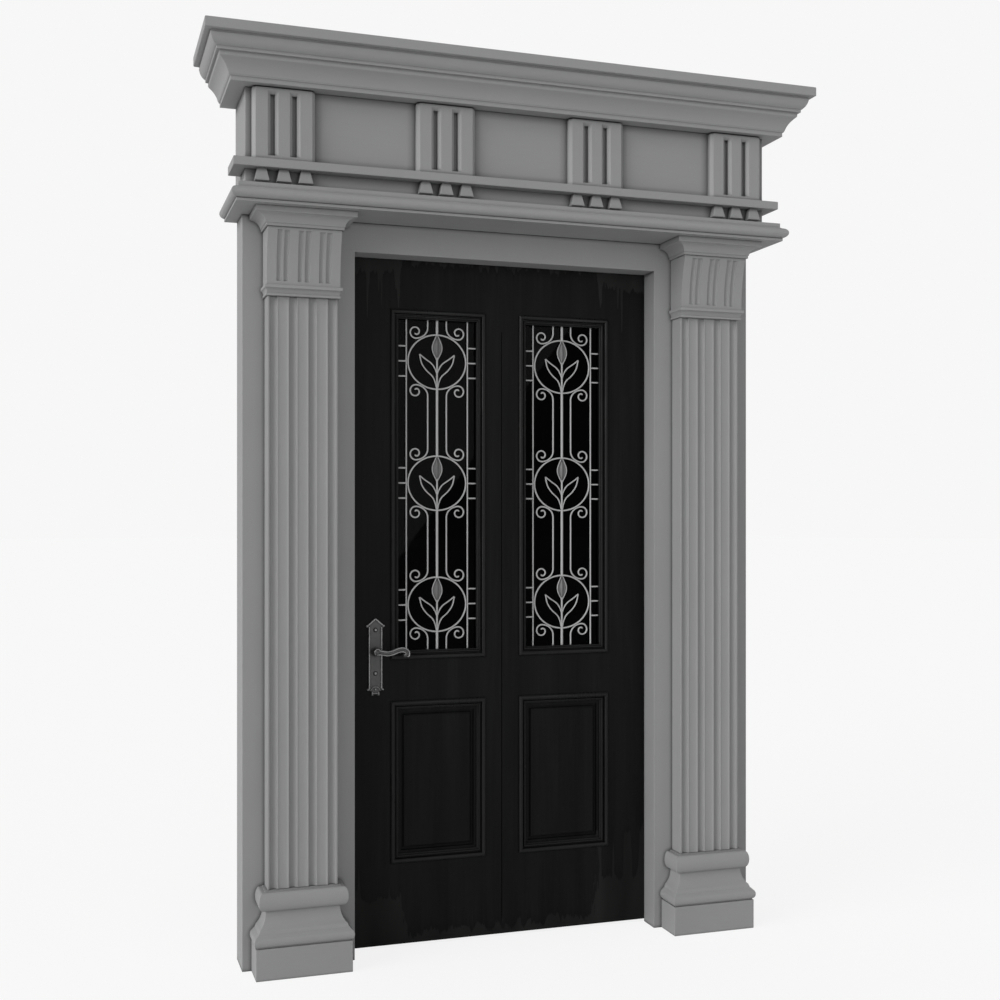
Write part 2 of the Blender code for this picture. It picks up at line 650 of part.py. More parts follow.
def strip(points, section, y, closed=False):
    """Corner rings of a flat bar that follows (x, z) points in the plane at y."""
    width, depth = section
    rings = []
    count = len(points)
    for index, (x, z) in enumerate(points):
        before = points[index - 1] if closed or index > 0 else points[index]
        after = points[(index + 1) % count] if closed or index < count - 1 else points[index]
        along = Vector((after[0] - before[0], after[1] - before[1])).normalized()
        across = Vector((-along.y, along.x)) * (width / 2)
        ring = []
        for side, forward in ((-1, -1), (1, -1), (1, 1), (-1, 1)):
            ring.append((x + side * across.x, y + forward * depth / 2, z + side * across.y))
        rings.append(ring)
    return rings, closed


def scroll_points(side, up, middle, ring_level):
    """Path of a scroll from its straight bar, out over the ring and curled in to its eye."""
    reach = SCROLL_CENTRE[0] - SCROLL_BAR_OFFSET
    turn_level = SCROLL_CENTRE[1] - SCROLL_RADIUS + SCROLL_SWEEP
    path = arc((SCROLL_CENTRE[0], turn_level), (-reach, -SCROLL_SWEEP), 0, 90, 3)
    steps = 7
    for step in range(1, steps + 1):
        share = step / steps
        angle = math.radians(-90 + SCROLL_TURN * share)
        radius = SCROLL_EYE + (SCROLL_RADIUS - SCROLL_EYE) * (1 - share ** 1.5)
        path.append((SCROLL_CENTRE[0] + radius * math.cos(angle), SCROLL_CENTRE[1] + radius * math.sin(angle)))
    return [(middle + side * x, ring_level + up * z) for x, z in path]


def grille_strips(middle):
    """Every bar of one grille as rings of corners, the centre bar left out."""
    y = GRILLE_PLANE
    low = SIGHT_FOOT + GAP
    high = SIGHT_TOP - GAP
    strips = []
    ring_levels = [SIGHT_TOP - RING_TOP_DROP - index * RING_PITCH for index in range(RING_COUNT)]
    for side in (-1, 1):
        x = middle + side * SIDE_BAR_OFFSET
        strips.append(strip([(x, low), (x, high)], SIDE_BAR_SECTION, y))
        x = middle + side * SCROLL_BAR_OFFSET
        path = [(x, high)]
        for level in ring_levels:
            path += scroll_points(side, 1, middle, level)
            strips.append(strip(path, SCROLL_SECTION, y))
            path = list(reversed(scroll_points(side, -1, middle, level)))
        strips.append(strip(path + [(x, low)], SCROLL_SECTION, y))
    for level in ring_levels:
        ring = arc((middle, level), (RING_HALF_WIDTH, RING_HALF_HEIGHT), 0, 360, 16)[:-1]
        strips.append(strip(ring, RING_SECTION, y, closed=True))
        for side in (-1, 1):
            for place in (-1, 0, 1):
                height = level + place * STUB_OFFSET
                ends = [(middle + side * SIDE_BAR_OFFSET, height), (middle + side * (SIGHT_HALF - GAP), height)]
                strips.append(strip(ends, STUB_SECTION, y))
            strips += leaf_strips(side, middle, level, y)
        stem = [(middle, level - RING_HALF_HEIGHT), (middle, level + BUD_FOOT + 0.012)]
        strips.append(strip(stem, STEM_SECTION, y))
        strips.append((bud_rings(middle, level, y), False))
    return strips


def leaf_strips(side, middle, level, y):
    """The two edges of one open leaf, which meet at its tip."""
    tip = LEAF_TIP
    upper = bend(tip, (0.0100, 0.0100), (0.0005, -0.0330), 3)
    lower = bend(tip, (0.0520, -0.0240), (0.0240, -0.0390), 2)
    lower += bend((0.0240, -0.0390), (0.0070, -0.0520), (0.0015, -0.0790), 2)[1:]
    strips = []
    for edge in (upper, lower):
        path = [(middle + side * x, level + z) for x, z in edge]
        strips.append(strip(path, LEAF_BAR_SECTION, y))
    return strips


def bud_rings(middle, level, y):
    """Sections of a pointed bud, ridged in front and nearly flat behind."""
    rings = []
    shape = ((0.0, 0.12), (0.22, 0.66), (0.47, 1.0), (0.74, 0.60), (1.0, 0.10))
    for share, size in shape:
        z = level + BUD_FOOT + (BUD_TOP - BUD_FOOT) * share
        half = BUD_HALF_WIDTH * size
        ridge = y - BUD_RIDGE * max(size, 0.35)
        rings.append([(middle - half, y, z), (middle, ridge, z), (middle + half, y, z), (middle, y + BUD_BACK, z)])
    return rings


def build_grille(name, middle, iron, leaf):
    """Joins all the bars of one grille into a single solid."""
    vertices = []
    faces = []
    for rings, closed in grille_strips(middle):
        offset = len(vertices)
        count = len(rings[0])
        for ring in rings:
            vertices += ring
        spans = len(rings) if closed else len(rings) - 1
        for span in range(spans):
            near = offset + span * count
            far = offset + (span + 1) % len(rings) * count
            for corner in range(count):
                after = (corner + 1) % count
                faces.append((near + corner, near + after, far + after, far + corner))
        if not closed:
            faces.append(tuple(range(offset, offset + count)))
            faces.append(tuple(range(len(vertices) - count, len(vertices))))
    grille = add_solid(name, vertices, faces, iron, leaf)
    ends = [(middle, SIGHT_FOOT + GAP), (middle, SIGHT_TOP - GAP)]
    rings, closed = strip(ends, CENTRE_BAR_SECTION, GRILLE_PLANE)
    bar = loft(f"{name}_centre_bar", rings, iron, leaf)
    boolean(grille, bar, "UNION", self_overlap=True)


def tube_between(name, place, radius, y_range, material, pivot, sides=12):
    """A round bar along Y at the given (x, z)."""
    rings = []
    for y in y_range:
        circle = arc(place, (radius, radius), 0, 360, sides)[:-1]
        rings.append([(x, y, z) for x, z in circle])
    return loft(name, rings, material, pivot)


def plate_outline():
    """Outline of a handle plate: gabled head, eaves, straight sides and a stepped pendant."""
    top = SPINDLE_HEIGHT + PLATE_UP
    foot = SPINDLE_HEIGHT - PLATE_DOWN
    half = PLATE_HALF_WIDTH
    eaves = EAVES_HALF_WIDTH
    pendant = PENDANT_HALF_WIDTH
    right = [(0.0, top + GABLE_RISE), (eaves - 0.004, top + 0.0075), (eaves, top + 0.0065), (eaves, top + 0.002)]
    right += [(half, top - 0.001), (half, foot + 0.001), (eaves - 0.002, foot - 0.007)]
    right += [(pendant + 0.006, foot - 0.009), (pendant, foot - 0.012), (pendant, foot - 0.019)]
    right += [(0.005, foot - PENDANT_DROP)]
    left = [(-x, z) for x, z in reversed(right[1:])]
    return [(PLATE_CENTRE + x, z) for x, z in right + left]


def build_plate(name, surface, outwards, steel, leaf):
    """Makes one handle plate on a face of the leaf, its edge softened."""
    near = surface + outwards * GAP
    far = surface + outwards * PLATE_THICKNESS
    shoulder = far - outwards * 0.0015
    middle_level = SPINDLE_HEIGHT - PLATE_DOWN / 4
    outline = plate_outline()
    inner = [(PLATE_CENTRE + (x - PLATE_CENTRE) * 0.95, middle_level + (z - middle_level) * 0.99) for x, z in outline]
    rings = [[(x, near, z) for x, z in outline], [(x, shoulder, z) for x, z in outline]]
    rings.append([(x, far, z) for x, z in inner])
    plate = loft(name, rings, steel, leaf)
    reach = (surface - 0.01, surface + 0.01)
    hole = tube_between(f"{name}_hole", (PLATE_CENTRE, SPINDLE_HEIGHT), SPINDLE_HOLE, reach, None, leaf)
    boolean(plate, hole, "DIFFERENCE")


def arm_rings(y):
    """Round sections along a lever's S-shaped arm, thinning and curling down at its end."""
    path = [(-0.004, 0.0, 1.25), (0.010, -0.003, 1.1), (0.024, -0.003, 0.95), (0.044, 0.003, 0.9)]
    path += [(0.062, 0.009, 0.95), (0.076, 0.010, 1.0), (0.087, 0.005, 1.0), (0.091, -0.005, 0.95)]
    path += [(0.088, -0.014, 0.85)]
    rings = []
    for index, (x, z, size) in enumerate(path):
        before = path[max(index - 1, 0)]
        after = path[min(index + 1, len(path) - 1)]
        along = Vector((after[0] - before[0], after[1] - before[1])).normalized()
        across = Vector((-along.y, along.x))
        radius = LEVER_RADIUS * size
        ring = []
        for step in range(8):
            angle = math.tau * step / 8
            side = radius * math.cos(angle)
            ring.append((PLATE_CENTRE + x + across.x * side, y + radius * math.sin(angle),
                         SPINDLE_HEIGHT + z + across.y * side))
        rings.append(ring)
    return rings


def build_lever(name, surface, outwards, spindle_end, steel, lever):
    """Makes one lever: neck and arm, with the spindle on the outside one."""
    start = surface + outwards * (PLATE_THICKNESS + 0.0005)
    axis = (PLATE_CENTRE, SPINDLE_HEIGHT)
    arm_y = surface + outwards * LEVER_STANDOFF
    neck_end = arm_y + outwards * LEVER_RADIUS * 0.8
    neck = tube_between(name, axis, NECK_RADIUS, (start, neck_end), steel, lever)
    arm = loft(f"{name}_arm", arm_rings(arm_y), None, lever)
    boolean(neck, arm, "UNION")
    if spindle_end is not None:
        reach = (start + outwards * 0.01, spindle_end)
        spindle = tube_between(f"{name}_spindle", axis, SPINDLE_RADIUS, reach, None, lever, sides=8)
        boolean(neck, spindle, "UNION")


def build_hinge(name, middle, steel, leaf):
    """Makes a hinge barrel with the flap that lies on the leaf's edge."""
    low = middle - BARREL_LENGTH / 2
    high = middle + BARREL_LENGTH / 2
    circle = arc((HINGE_X, HINGE_Y), (BARREL_RADIUS, BARREL_RADIUS), 0, 360, 12)[:-1]
    barrel = extrude_plan(name, circle, (low, high), steel, leaf)
    face = LEAF_HALF + GAP
    flap = box(f"{name}_flap", (face, face + FLAP_THICKNESS), (-FLAP_DEPTH, HINGE_Y),
               (low + 0.002, high - 0.002), None, leaf)
    boolean(barrel, flap, "UNION")


def build():
    """Clears the scene and makes every piece of the door surround."""
    for old in list(bpy.data.objects):
        bpy.data.objects.remove(old, do_unlink=True)

    paint = make_material("grey_paint", (0.26, 0.26, 0.26), 0.55)
    timber = make_material("black_paint", (0.008, 0.008, 0.008), 0.45)
    glass = make_material("dark_glass", (0.02, 0.02, 0.02), 0.05, transmission=0.8)
    iron = make_material("pale_iron", (0.33, 0.33, 0.33), 0.5)
    steel = make_material("dull_steel", (0.14, 0.14, 0.14), 0.4, metallic=0.8)

    root_empty = make_empty("surround", (0.0, 0.0, -MOUNT_LEVEL))
    root = {"empty": root_empty, "place": (0.0, 0.0, 0.0)}
    hinge_place = (HINGE_X, HINGE_Y, 0.0)
    leaf_empty = make_empty("leaf_pivot", hinge_place, root_empty)
    leaf = {"empty": leaf_empty, "place": hinge_place}
    spindle_place = Vector((PLATE_CENTRE, LEAF_FRONT, SPINDLE_HEIGHT))
    lever_empty = make_empty("lever_pivot", spindle_place - Vector(hinge_place), leaf_empty)
    lever = {"empty": lever_empty, "place": spindle_place}

    build_frame(paint, root)
    build_pilaster(-1, "left", paint, root)
    build_pilaster(1, "right", paint, root)
    build_entablature(paint, root)

    build_leaf_frame(timber, leaf)
    build_panes(timber, glass, leaf)
    build_grille("grille_left", -PANE_CENTRE, iron, leaf)
    build_grille("grille_right", PANE_CENTRE, iron, leaf)
    build_hinge("hinge_lower", FLOOR_CLEARANCE + HINGE_INSET, steel, leaf)
    build_hinge("hinge_upper", LEAF_TOP - HINGE_INSET, steel, leaf)
    build_plate("handle_plate_outside", LEAF_FRONT, -1, steel, leaf)
    build_plate("handle_plate_inside", 0.0, 1, steel, leaf)
    build_lever("lever_outside", LEAF_FRONT, -1, PLATE_THICKNESS + 0.0003, steel, lever)
    build_lever("lever_inside", 0.0, 1, None, steel, lever)


build()
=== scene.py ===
# %% [markdown]
# # A classical door surround and its door
#
# The surround is built work.  Two fluted pilasters stand on the jambs of a frame and carry an
# entablature, and a panelled door with iron grilles hangs inside.  This lesson dresses the solid
# model of it: each solid gets a finer surface of the same size, and every surface gets a finish
# made of shader nodes.
#
# The solid model is loaded first.  It says where every piece belongs, in metres, with the front
# facing -Y and +Z up.

import math

import bpy
import numpy as np
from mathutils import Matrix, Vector


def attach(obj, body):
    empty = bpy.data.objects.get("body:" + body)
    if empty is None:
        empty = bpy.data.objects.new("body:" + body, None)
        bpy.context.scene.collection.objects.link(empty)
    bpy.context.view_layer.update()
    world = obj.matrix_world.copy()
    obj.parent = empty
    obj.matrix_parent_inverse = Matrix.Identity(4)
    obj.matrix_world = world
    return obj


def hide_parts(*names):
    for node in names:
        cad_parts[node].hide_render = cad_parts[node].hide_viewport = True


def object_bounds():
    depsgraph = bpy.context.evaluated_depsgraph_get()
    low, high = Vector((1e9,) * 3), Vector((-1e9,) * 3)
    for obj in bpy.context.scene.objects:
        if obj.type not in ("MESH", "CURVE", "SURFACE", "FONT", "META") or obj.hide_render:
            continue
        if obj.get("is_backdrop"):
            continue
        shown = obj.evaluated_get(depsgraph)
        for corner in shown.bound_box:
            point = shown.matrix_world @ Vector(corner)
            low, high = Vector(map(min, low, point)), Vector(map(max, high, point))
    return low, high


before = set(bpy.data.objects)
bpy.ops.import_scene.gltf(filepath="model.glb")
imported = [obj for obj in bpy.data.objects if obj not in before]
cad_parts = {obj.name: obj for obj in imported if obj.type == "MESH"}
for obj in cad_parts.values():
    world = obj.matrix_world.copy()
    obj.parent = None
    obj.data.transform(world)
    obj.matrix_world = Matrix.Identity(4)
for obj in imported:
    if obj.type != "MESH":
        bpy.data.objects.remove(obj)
cad_low, cad_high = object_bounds()
FLOOR = cad_low.z
print("solid model:", len(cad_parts), "nodes, floor at", round(FLOOR, 4))

# %% [markdown]
# ## The sizes that everything follows
#
# A joiner sets out a doorway from a rod: one list of heights and widths that all pieces share.
# Heights here are measured from the floor, which is easier to picture, and the floor's own level
# is added when a piece is made.

# %% Set out the doorway
GAP = 0.0003
OPENING_HALF = 0.486
OPENING_HEIGHT = 2.100
FACE = -0.120
FRAME_HALF = 0.8165
FRAME_TOP = 2.187
REBATE_LAP = 0.015
LEAF_HALF = 0.498
LEAF_TOP = 2.112
LEAF_FOOT = 0.008
LEAF_FRONT = -0.043
PILASTER_CENTRE = 0.651
SHAFT_HALF = 0.1015
SHAFT_FRONT = FACE - 0.0605
FRIEZE_HALF = 0.8205
FRIEZE_FRONT = FACE - 0.097
FRIEZE_FOOT = 2.2434
FRIEZE_TOP = 2.525
SIDES = ((-1, "left"), (1, "right"))
print("doorway", 2 * OPENING_HALF, "by", OPENING_HEIGHT, "m")

# %% [markdown]
# ## Surfaces from rings
#
# Nearly all of this woodwork is run with a plane or a router: one section carried along a path.
# So one kind of surface does for the whole job.  A *ring* is a closed section of N points, and a
# surface is S rings in a row, held as an array of S x N points.  Neighbouring rings are joined
# by quads, and the first and last ring are closed by one face each.
#
# The faces have to point outwards.  The signed volume tells: it is the sum over all faces of
# a . (b x c) / 6, and if it comes out negative every face is turned round.

# %% Join rings into a closed surface
def signed_volume(points, faces):
    """Sum of a . (b x c) / 6 over the triangles that fan out from each face's first corner."""
    total = 0.0
    for size in sorted({len(face) for face in faces}):
        corners = points[np.array([face for face in faces if len(face) == size])]
        first = corners[:, :1]
        total += np.sum(first * np.cross(corners[:, 1:-1], corners[:, 2:])) / 6
    return total


def ring_faces(rings, wrap):
    """Quads between ring i and ring i + 1, each from point j to j + 1, and a face on each end."""
    sections, points = rings.shape[:2]
    near = np.arange(sections if wrap else sections - 1)[:, None] * points
    far = (near + points) % (sections * points)
    here = np.arange(points)[None, :]
    after = (here + 1) % points
    faces = np.stack((near + here, near + after, far + after, far + here), axis=-1).reshape(-1, 4).tolist()
    if not wrap:
        faces.append(list(range(points))[::-1])
        faces.append(list(range((sections - 1) * points, sections * points)))
    if signed_volume(rings.reshape(-1, 3), faces) < 0:
        faces = [face[::-1] for face in faces]
    return faces


def add_mesh(name, points, faces, finish, body, stands_for=(), crease=38.0):
    """Makes a mesh that rides on a body, its points measured from the floor and turned outwards.

    Edges that turn by more than the crease angle stay crisp, and all others are shaded smooth.  The
    shading leans on the larger faces, so a flat board stays flat right up to its softened edge.
    """
    if signed_volume(points, faces) < 0:
        faces = [face[::-1] for face in faces]
    mesh = bpy.data.meshes.new(name)
    mesh.from_pydata((points + np.array((0.0, 0.0, FLOOR))).tolist(), [], faces)
    mesh.polygons.foreach_set("use_smooth", np.ones(len(mesh.polygons), dtype=bool))
    mesh.set_sharp_from_angle(angle=math.radians(crease))
    piece = bpy.data.objects.new(name, mesh)
    bpy.context.scene.collection.objects.link(piece)
    mesh.materials.append(finish)
    leaning = piece.modifiers.new("lean on larger faces", "WEIGHTED_NORMAL")
    leaning.keep_sharp = True
    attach(piece, body)
    if stands_for:
        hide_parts(*stands_for)


def grid(x, y, z):
    """Spreads three coordinates to one common shape and stacks them into points."""
    return np.stack(np.broadcast_arrays(x, y, z), axis=-1)


def add_piece(name, surfaces, finish, body, stands_for=()):
    """Puts closed surfaces into one mesh that rides on a body.

    A surface is its rings, or (rings, True) where the last ring joins the first one again.
    """
    vertices = []
    faces = []
    count = 0
    for surface in surfaces:
        rings, wrap = surface if isinstance(surface, tuple) else (surface, False)
        vertices.append(rings.reshape(-1, 3))
        faces += [[corner + count for corner in face] for face in ring_faces(rings, wrap)]
        count += len(vertices[-1])
    add_mesh(name, np.concatenate(vertices), faces, finish, body, stands_for)


# %% [markdown]
# ## Curves and softened corners
#
# Mouldings are made of a few shapes: straight fillets, quarter rounds, hollows and S curves.  An
# arc and a quadratic curve are enough to draw them all.  No corner of painted wood is perfectly
# sharp, so each corner of a section is replaced by a tiny curve before the section is used.

# %% Draw profiles
def arc(centre, radii, start, end, steps):
    """Points centre + (rx cos a, ry sin a), with a running evenly from start to end in degrees."""
    angle = np.radians(np.linspace(start, end, steps + 1))
    return np.stack((centre[0] + radii[0] * np.cos(angle), centre[1] + radii[1] * np.sin(angle)), axis=1)


def bend(start, pull, end, steps):
    """Points (1-t)^2 start + 2t(1-t) pull + t^2 end: leaves start and reaches end, drawn to pull."""
    t = np.linspace(0.0, 1.0, steps + 1)[:, None]
    return (1 - t) ** 2 * np.array(start) + 2 * t * (1 - t) * np.array(pull) + t ** 2 * np.array(end)


def profile(*parts):
    """Strings points and runs of points together into one array."""
    return np.concatenate([np.atleast_2d(np.array(part, dtype=float)) for part in parts])


def soften(points, size, closed=False, steps=3, turn=20.0):
    """Replaces each corner P that turns by more than the angle by a small curve.

    The curve starts and ends the given size away from P, or 0.45 of the way to its neighbours
    where they are nearer, and is the quadratic curve with P as its pull.
    """
    before = np.roll(points, 1, axis=0)
    after = np.roll(points, -1, axis=0)
    into = before - points
    out = after - points
    reach_in = np.maximum(np.linalg.norm(into, axis=1), 1e-9)[:, None]
    reach_out = np.maximum(np.linalg.norm(out, axis=1), 1e-9)[:, None]
    cosine = np.sum(-into * out, axis=1) / (reach_in * reach_out)[:, 0]
    sharp = cosine < math.cos(math.radians(turn))
    if not closed:
        sharp[[0, -1]] = False
    start = points + into / reach_in * np.minimum(size, 0.45 * reach_in)
    end = points + out / reach_out * np.minimum(size, 0.45 * reach_out)
    t = np.linspace(0.0, 1.0, steps + 1)[None, :, None]
    curve = (1 - t) ** 2 * start[:, None] + 2 * t * (1 - t) * points[:, None] + t ** 2 * end[:, None]
    keep = np.repeat(sharp[:, None], steps + 1, axis=1)
    keep[:, 0] = True
    curve[~sharp, 0] = points[~sharp]
    return curve[keep]


# %% [markdown]
# ## The shapes of the joiner's shop
#
# Four shapes make the woodwork.  A *moulded block* is a stack of level rectangles whose front and
# sides stand out as a profile says, which is how a moulding looks when it returns round a
# corner.  A *board* is a plan outline pulled straight up.  A *mitred frame* runs a profile round
# a rectangle.  A *tube* carries an oval section along a path.  For the metalwork there is also a
# *turned* shape, an outline spun about an axis.

# %% Shape helpers
def moulded_block(centre, half, front, back, outline, corner=0.0012):
    """One rectangle per profile point (side overhang, front overhang, height), from the foot up.

    The two front corners are quarter rounds of the corner radius, drawn with three steps.
    """
    side = half + outline[:, :1]
    ahead = front - outline[:, 1:2]
    turn = np.radians(np.linspace(180.0, 270.0, 4))[None, :]
    left_x = centre - side + corner + corner * np.cos(turn)
    left_y = ahead + corner + corner * np.sin(turn)
    behind = np.full_like(side, back)
    x = np.concatenate((centre - side, left_x, 2 * centre - left_x[:, ::-1], centre + side), axis=1)
    y = np.concatenate((behind, left_y, left_y[:, ::-1], behind), axis=1)
    return grid(x, y, outline[:, 2:3])


def even(section, foot):
    """Turns (overhang, rise) points into (side, front, height) points that start at the foot."""
    return np.stack((section[:, 0], section[:, 0], foot + section[:, 1]), axis=1)


def board(outline, low, high, arris):
    """Pulls a plan outline of (x, y) points from one height to another, its end edges softened.

    The end rings shrink towards the middle of the outline by the arris, and so do their levels.
    """
    middle = (outline.min(axis=0) + outline.max(axis=0)) / 2
    half = (outline.max(axis=0) - outline.min(axis=0)) / 2
    inner = middle + (outline - middle) * (1 - arris / half)
    levels = ((inner, low), (outline, low + arris), (outline, high - arris), (inner, high))
    return np.stack([grid(*ring.T, level) for ring, level in levels])


def rectangle(left, right, front, back, arris):
    """Four corners of a plank's section, softened."""
    return soften(np.array([(left, front), (right, front), (right, back), (left, back)]), arris, closed=True)


def mitred_frame(centre, half, low, high, section):
    """Carries a closed section of (distance in from the rectangle, y) round its four corners."""
    side = np.array((-1.0, 1.0, 1.0, -1.0))[:, None]
    level = np.array((low, low, high, high))[:, None]
    sense = np.array((1.0, 1.0, -1.0, -1.0))[:, None]
    inward, y = section.T
    return grid(centre + side * (half - inward), y, level + sense * inward)


def tube(path, width, depth, y, closed=False, sides=12, swell=None):
    """Carries an oval along a path of (x, z) points in the plane at y.

    A ring point is path + across * width/2 * cos(a), and y + depth/2 * sin(a), where across is
    square to the path.  The swell scales the oval at each point of the path.
    """
    if closed:
        along = np.roll(path, -1, axis=0) - np.roll(path, 1, axis=0)
    else:
        along = np.gradient(path, axis=0)
    along /= np.linalg.norm(along, axis=1)[:, None]
    across = np.stack((-along[:, 1], along[:, 0]), axis=1)
    size = np.ones(len(path)) if swell is None else swell
    angle = np.linspace(0.0, math.tau, sides, endpoint=False)
    offset = size[:, None] * np.cos(angle)[None, :] * width / 2
    x = path[:, :1] + across[:, :1] * offset
    z = path[:, 1:] + across[:, 1:] * offset
    return grid(x, y + size[:, None] * np.sin(angle)[None, :] * depth / 2, z)


def turned(outline, place, sides):
    """A turned shape about the Y axis at (x, z): outline points are (radius, y)."""
    angle = np.linspace(0.0, math.tau, sides, endpoint=False)[None, :]
    radius = outline[:, :1]
    return grid(place[0] + radius * np.cos(angle), outline[:, 1:2], place[1] + radius * np.sin(angle))


print("shapes: moulded block, board, mitred frame, tube, turned")

# %% [markdown]
# ## Paint as a finish
#
# The surround is painted a flat mid grey.  A brushed film of paint is never quite even: its
# colour drifts a little over a hand's breadth, the bristles leave fine lines, and the surface
# has a slight orange peel.  The grey work, the iron and the door all share this, so it is one
# node group with its own sockets, and each material sets its own values.
#
# The material also paints shade into grooves and corners.  It asks how much open sky each point has
# within about a centimetre and darkens its colour where there is little.

# %% Node helpers
def fill(tree, sockets, values):
    """Links a socket where its value comes from a node, and sets it where the value is plain."""
    for socket, value in values.items():
        if isinstance(value, bpy.types.NodeSocket):
            tree.links.new(value, sockets[socket])
        else:
            sockets[socket].default_value = value


def add_node(tree, kind, inputs=None, **options):
    """Adds a node, sets its options, and fills its inputs by name or number."""
    made = tree.nodes.new(kind)
    for option, value in options.items():
        setattr(made, option, value)
    fill(tree, made.inputs, inputs or {})
    return made.outputs


def maths(tree, operation, *values, clamp=False):
    """Adds one Math node and returns its result."""
    return add_node(tree, "ShaderNodeMath", dict(enumerate(values)), operation=operation, use_clamp=clamp)[0]


def noise(tree, place, scale, detail, roughness=0.5, distortion=0.0):
    """Adds a noise that wanders about one half, and returns its value."""
    return add_node(tree, "ShaderNodeTexNoise", {"Vector": place, "Scale": scale, "Detail": detail,
                                                 "Roughness": roughness, "Distortion": distortion})[0]


def stretched(tree, place, factors):
    """Multiplies a place by a vector, so that what follows is drawn out where a factor is small."""
    return add_node(tree, "ShaderNodeVectorMath", {0: place, 1: factors}, operation="MULTIPLY")[0]


def scaled(tree, colour, factor):
    """Multiplies a colour by a number."""
    return add_node(tree, "ShaderNodeVectorMath", {0: colour, "Scale": factor}, operation="SCALE")[0]


def mixed(tree, share, first, second):
    """Goes from the first colour to the second as the share goes from 0 to 1."""
    return add_node(tree, "ShaderNodeMix", {0: share, 6: first, 7: second}, data_type="RGBA")[2]


def bumped(tree, height, distance, strength):
    """The normal of a surface that a height bends."""
    inputs = {"Height": height, "Distance": distance, "Strength": strength}
    return add_node(tree, "ShaderNodeBump", inputs)["Normal"]


def new_group(name, inputs, outputs):
    """Starts a shader group: the inputs have start values, and only an output Colour is a colour."""
    group = bpy.data.node_groups.new(name, "ShaderNodeTree")
    kinds = {1: "Float", 3: "Vector", 4: "Color"}
    for socket, value in inputs.items():
        kind = "NodeSocket" + kinds[np.size(value)]
        group.interface.new_socket(name=socket, in_out="INPUT", socket_type=kind).default_value = value
    for socket in outputs:
        kind = "NodeSocketColor" if socket == "Colour" else "NodeSocketFloat"
        group.interface.new_socket(name=socket, in_out="OUTPUT", socket_type=kind)
    return group, group.nodes.new("NodeGroupInput").outputs, group.nodes.new("NodeGroupOutput").inputs


def start_material(name):
    """A new material, its tree, the inputs of its Principled shader and the place on the piece."""
    material = bpy.data.materials.new(name)
    material.use_nodes = True
    tree = material.node_tree
    place = add_node(tree, "ShaderNodeTexCoord")["Object"]
    return material, tree, tree.nodes["Principled BSDF"].inputs, place


def painted_crevice_shade(tree, colour, reach, strength):
    """Painted shade: darkens a colour where less than the whole sky is open within reach: colour *
    open^strength.
    """
    open_sky = add_node(tree, "ShaderNodeAmbientOcclusion", {"Distance": reach}, samples=6)["AO"]
    return scaled(tree, colour, maths(tree, "POWER", open_sky, strength))


# %% The brushed paint film
ORIGIN = (0.0, 0.0, 0.0)
NOISE_MIDDLE = 0.5
film, given, result = new_group(
    "Paint film",
    {"Place": ORIGIN, "Colour": (0.5, 0.5, 0.5, 1.0), "Stroke": (1.0, 1.0, 1.0), "Mottle": 0.05,
     "Roughness": 0.5},
    ("Colour", "Roughness", "Height"))
drift = noise(film, given["Place"], 5.0, 3.0)
bristle = noise(film, stretched(film, given["Place"], given["Stroke"]), 260.0, 2.0)
peel = noise(film, given["Place"], 900.0, 1.0)
both = maths(film, "ADD", maths(film, "MULTIPLY", drift, 0.65), maths(film, "MULTIPLY", bristle, 0.35))
away = maths(film, "SUBTRACT", both, NOISE_MIDDLE)
change = maths(film, "MULTIPLY", away, maths(film, "MULTIPLY", given["Mottle"], 2.0))
fill(film, result, {
    "Colour": scaled(film, given["Colour"], maths(film, "ADD", change, 1.0)),
    "Roughness": maths(film, "ADD", given["Roughness"], maths(film, "MULTIPLY", change, 1.5)),
    "Height": maths(film, "ADD", maths(film, "MULTIPLY", bristle, 0.7), maths(film, "MULTIPLY", peel, 0.3))})

UPRIGHT_STROKE = (1.0, 1.0, 0.05)
LEVEL_STROKE = (0.05, 1.0, 1.0)
HAMMERED = (1.0, 1.0, 0.4)


def painted(name, tone, stroke, mottle, roughness, relief, reach, strength):
    """A painted finish: the film's colour, roughness and height drive one Principled shader.

    Painted shade darkens the colour within reach of a corner.
    """
    material, tree, shader, place = start_material(name)
    paint = add_node(tree, "ShaderNodeGroup", {"Place": place, "Colour": (*tone, 1.0), "Stroke": stroke,
                                               "Mottle": mottle, "Roughness": roughness}, node_tree=film)
    fill(tree, shader, {"Base Color": painted_crevice_shade(tree, paint["Colour"], reach, strength),
                        "Roughness": paint["Roughness"],
                        "Normal": bumped(tree, paint["Height"], relief, 1.0)})
    return material


def grey(name, stroke, reach, strength):
    """The surround's grey paint, brushed one way, with painted shade that darkens it within reach of a
    corner.
    """
    return painted(name, (0.282, 0.282, 0.284), stroke, 0.07, 0.60, 0.00012, reach, strength)


# Each grey darkens its corners by painted shade; the last reaches furthest, for the dark between the drops.
grey_upright = grey("grey_paint_brushed_upright", UPRIGHT_STROKE, 0.012, 1.2)
grey_level = grey("grey_paint_brushed_level", LEVEL_STROKE, 0.008, 0.7)
grey_fluted = grey("grey_paint_on_flutes", UPRIGHT_STROKE, 0.004, 0.4)
grey_shaded = grey("grey_paint_with_deep_painted_corner_shade", LEVEL_STROKE, 0.026, 1.3)
print("finishes:", grey_upright.name, grey_level.name, grey_fluted.name, grey_shaded.name)

# %% [markdown]
# ## Black paint, grain and worn edges
#
# The door is nearly black.  Through the paint runs the grain of the timber, upright on all its
# boards.  Along the top and the foot the surface has been rubbed flat in a narrow band, which
# deepens into patches at the four corners, and from the patches long drips run along the grain.
#
# The mask compares two lengths at each point: how far it is from the nearer end of the leaf, and
# how deep the worn band is there.  The depth is a narrow band, plus a patch where the side edge is
# near, plus drips wherever a noise that only changes across the leaf is high.

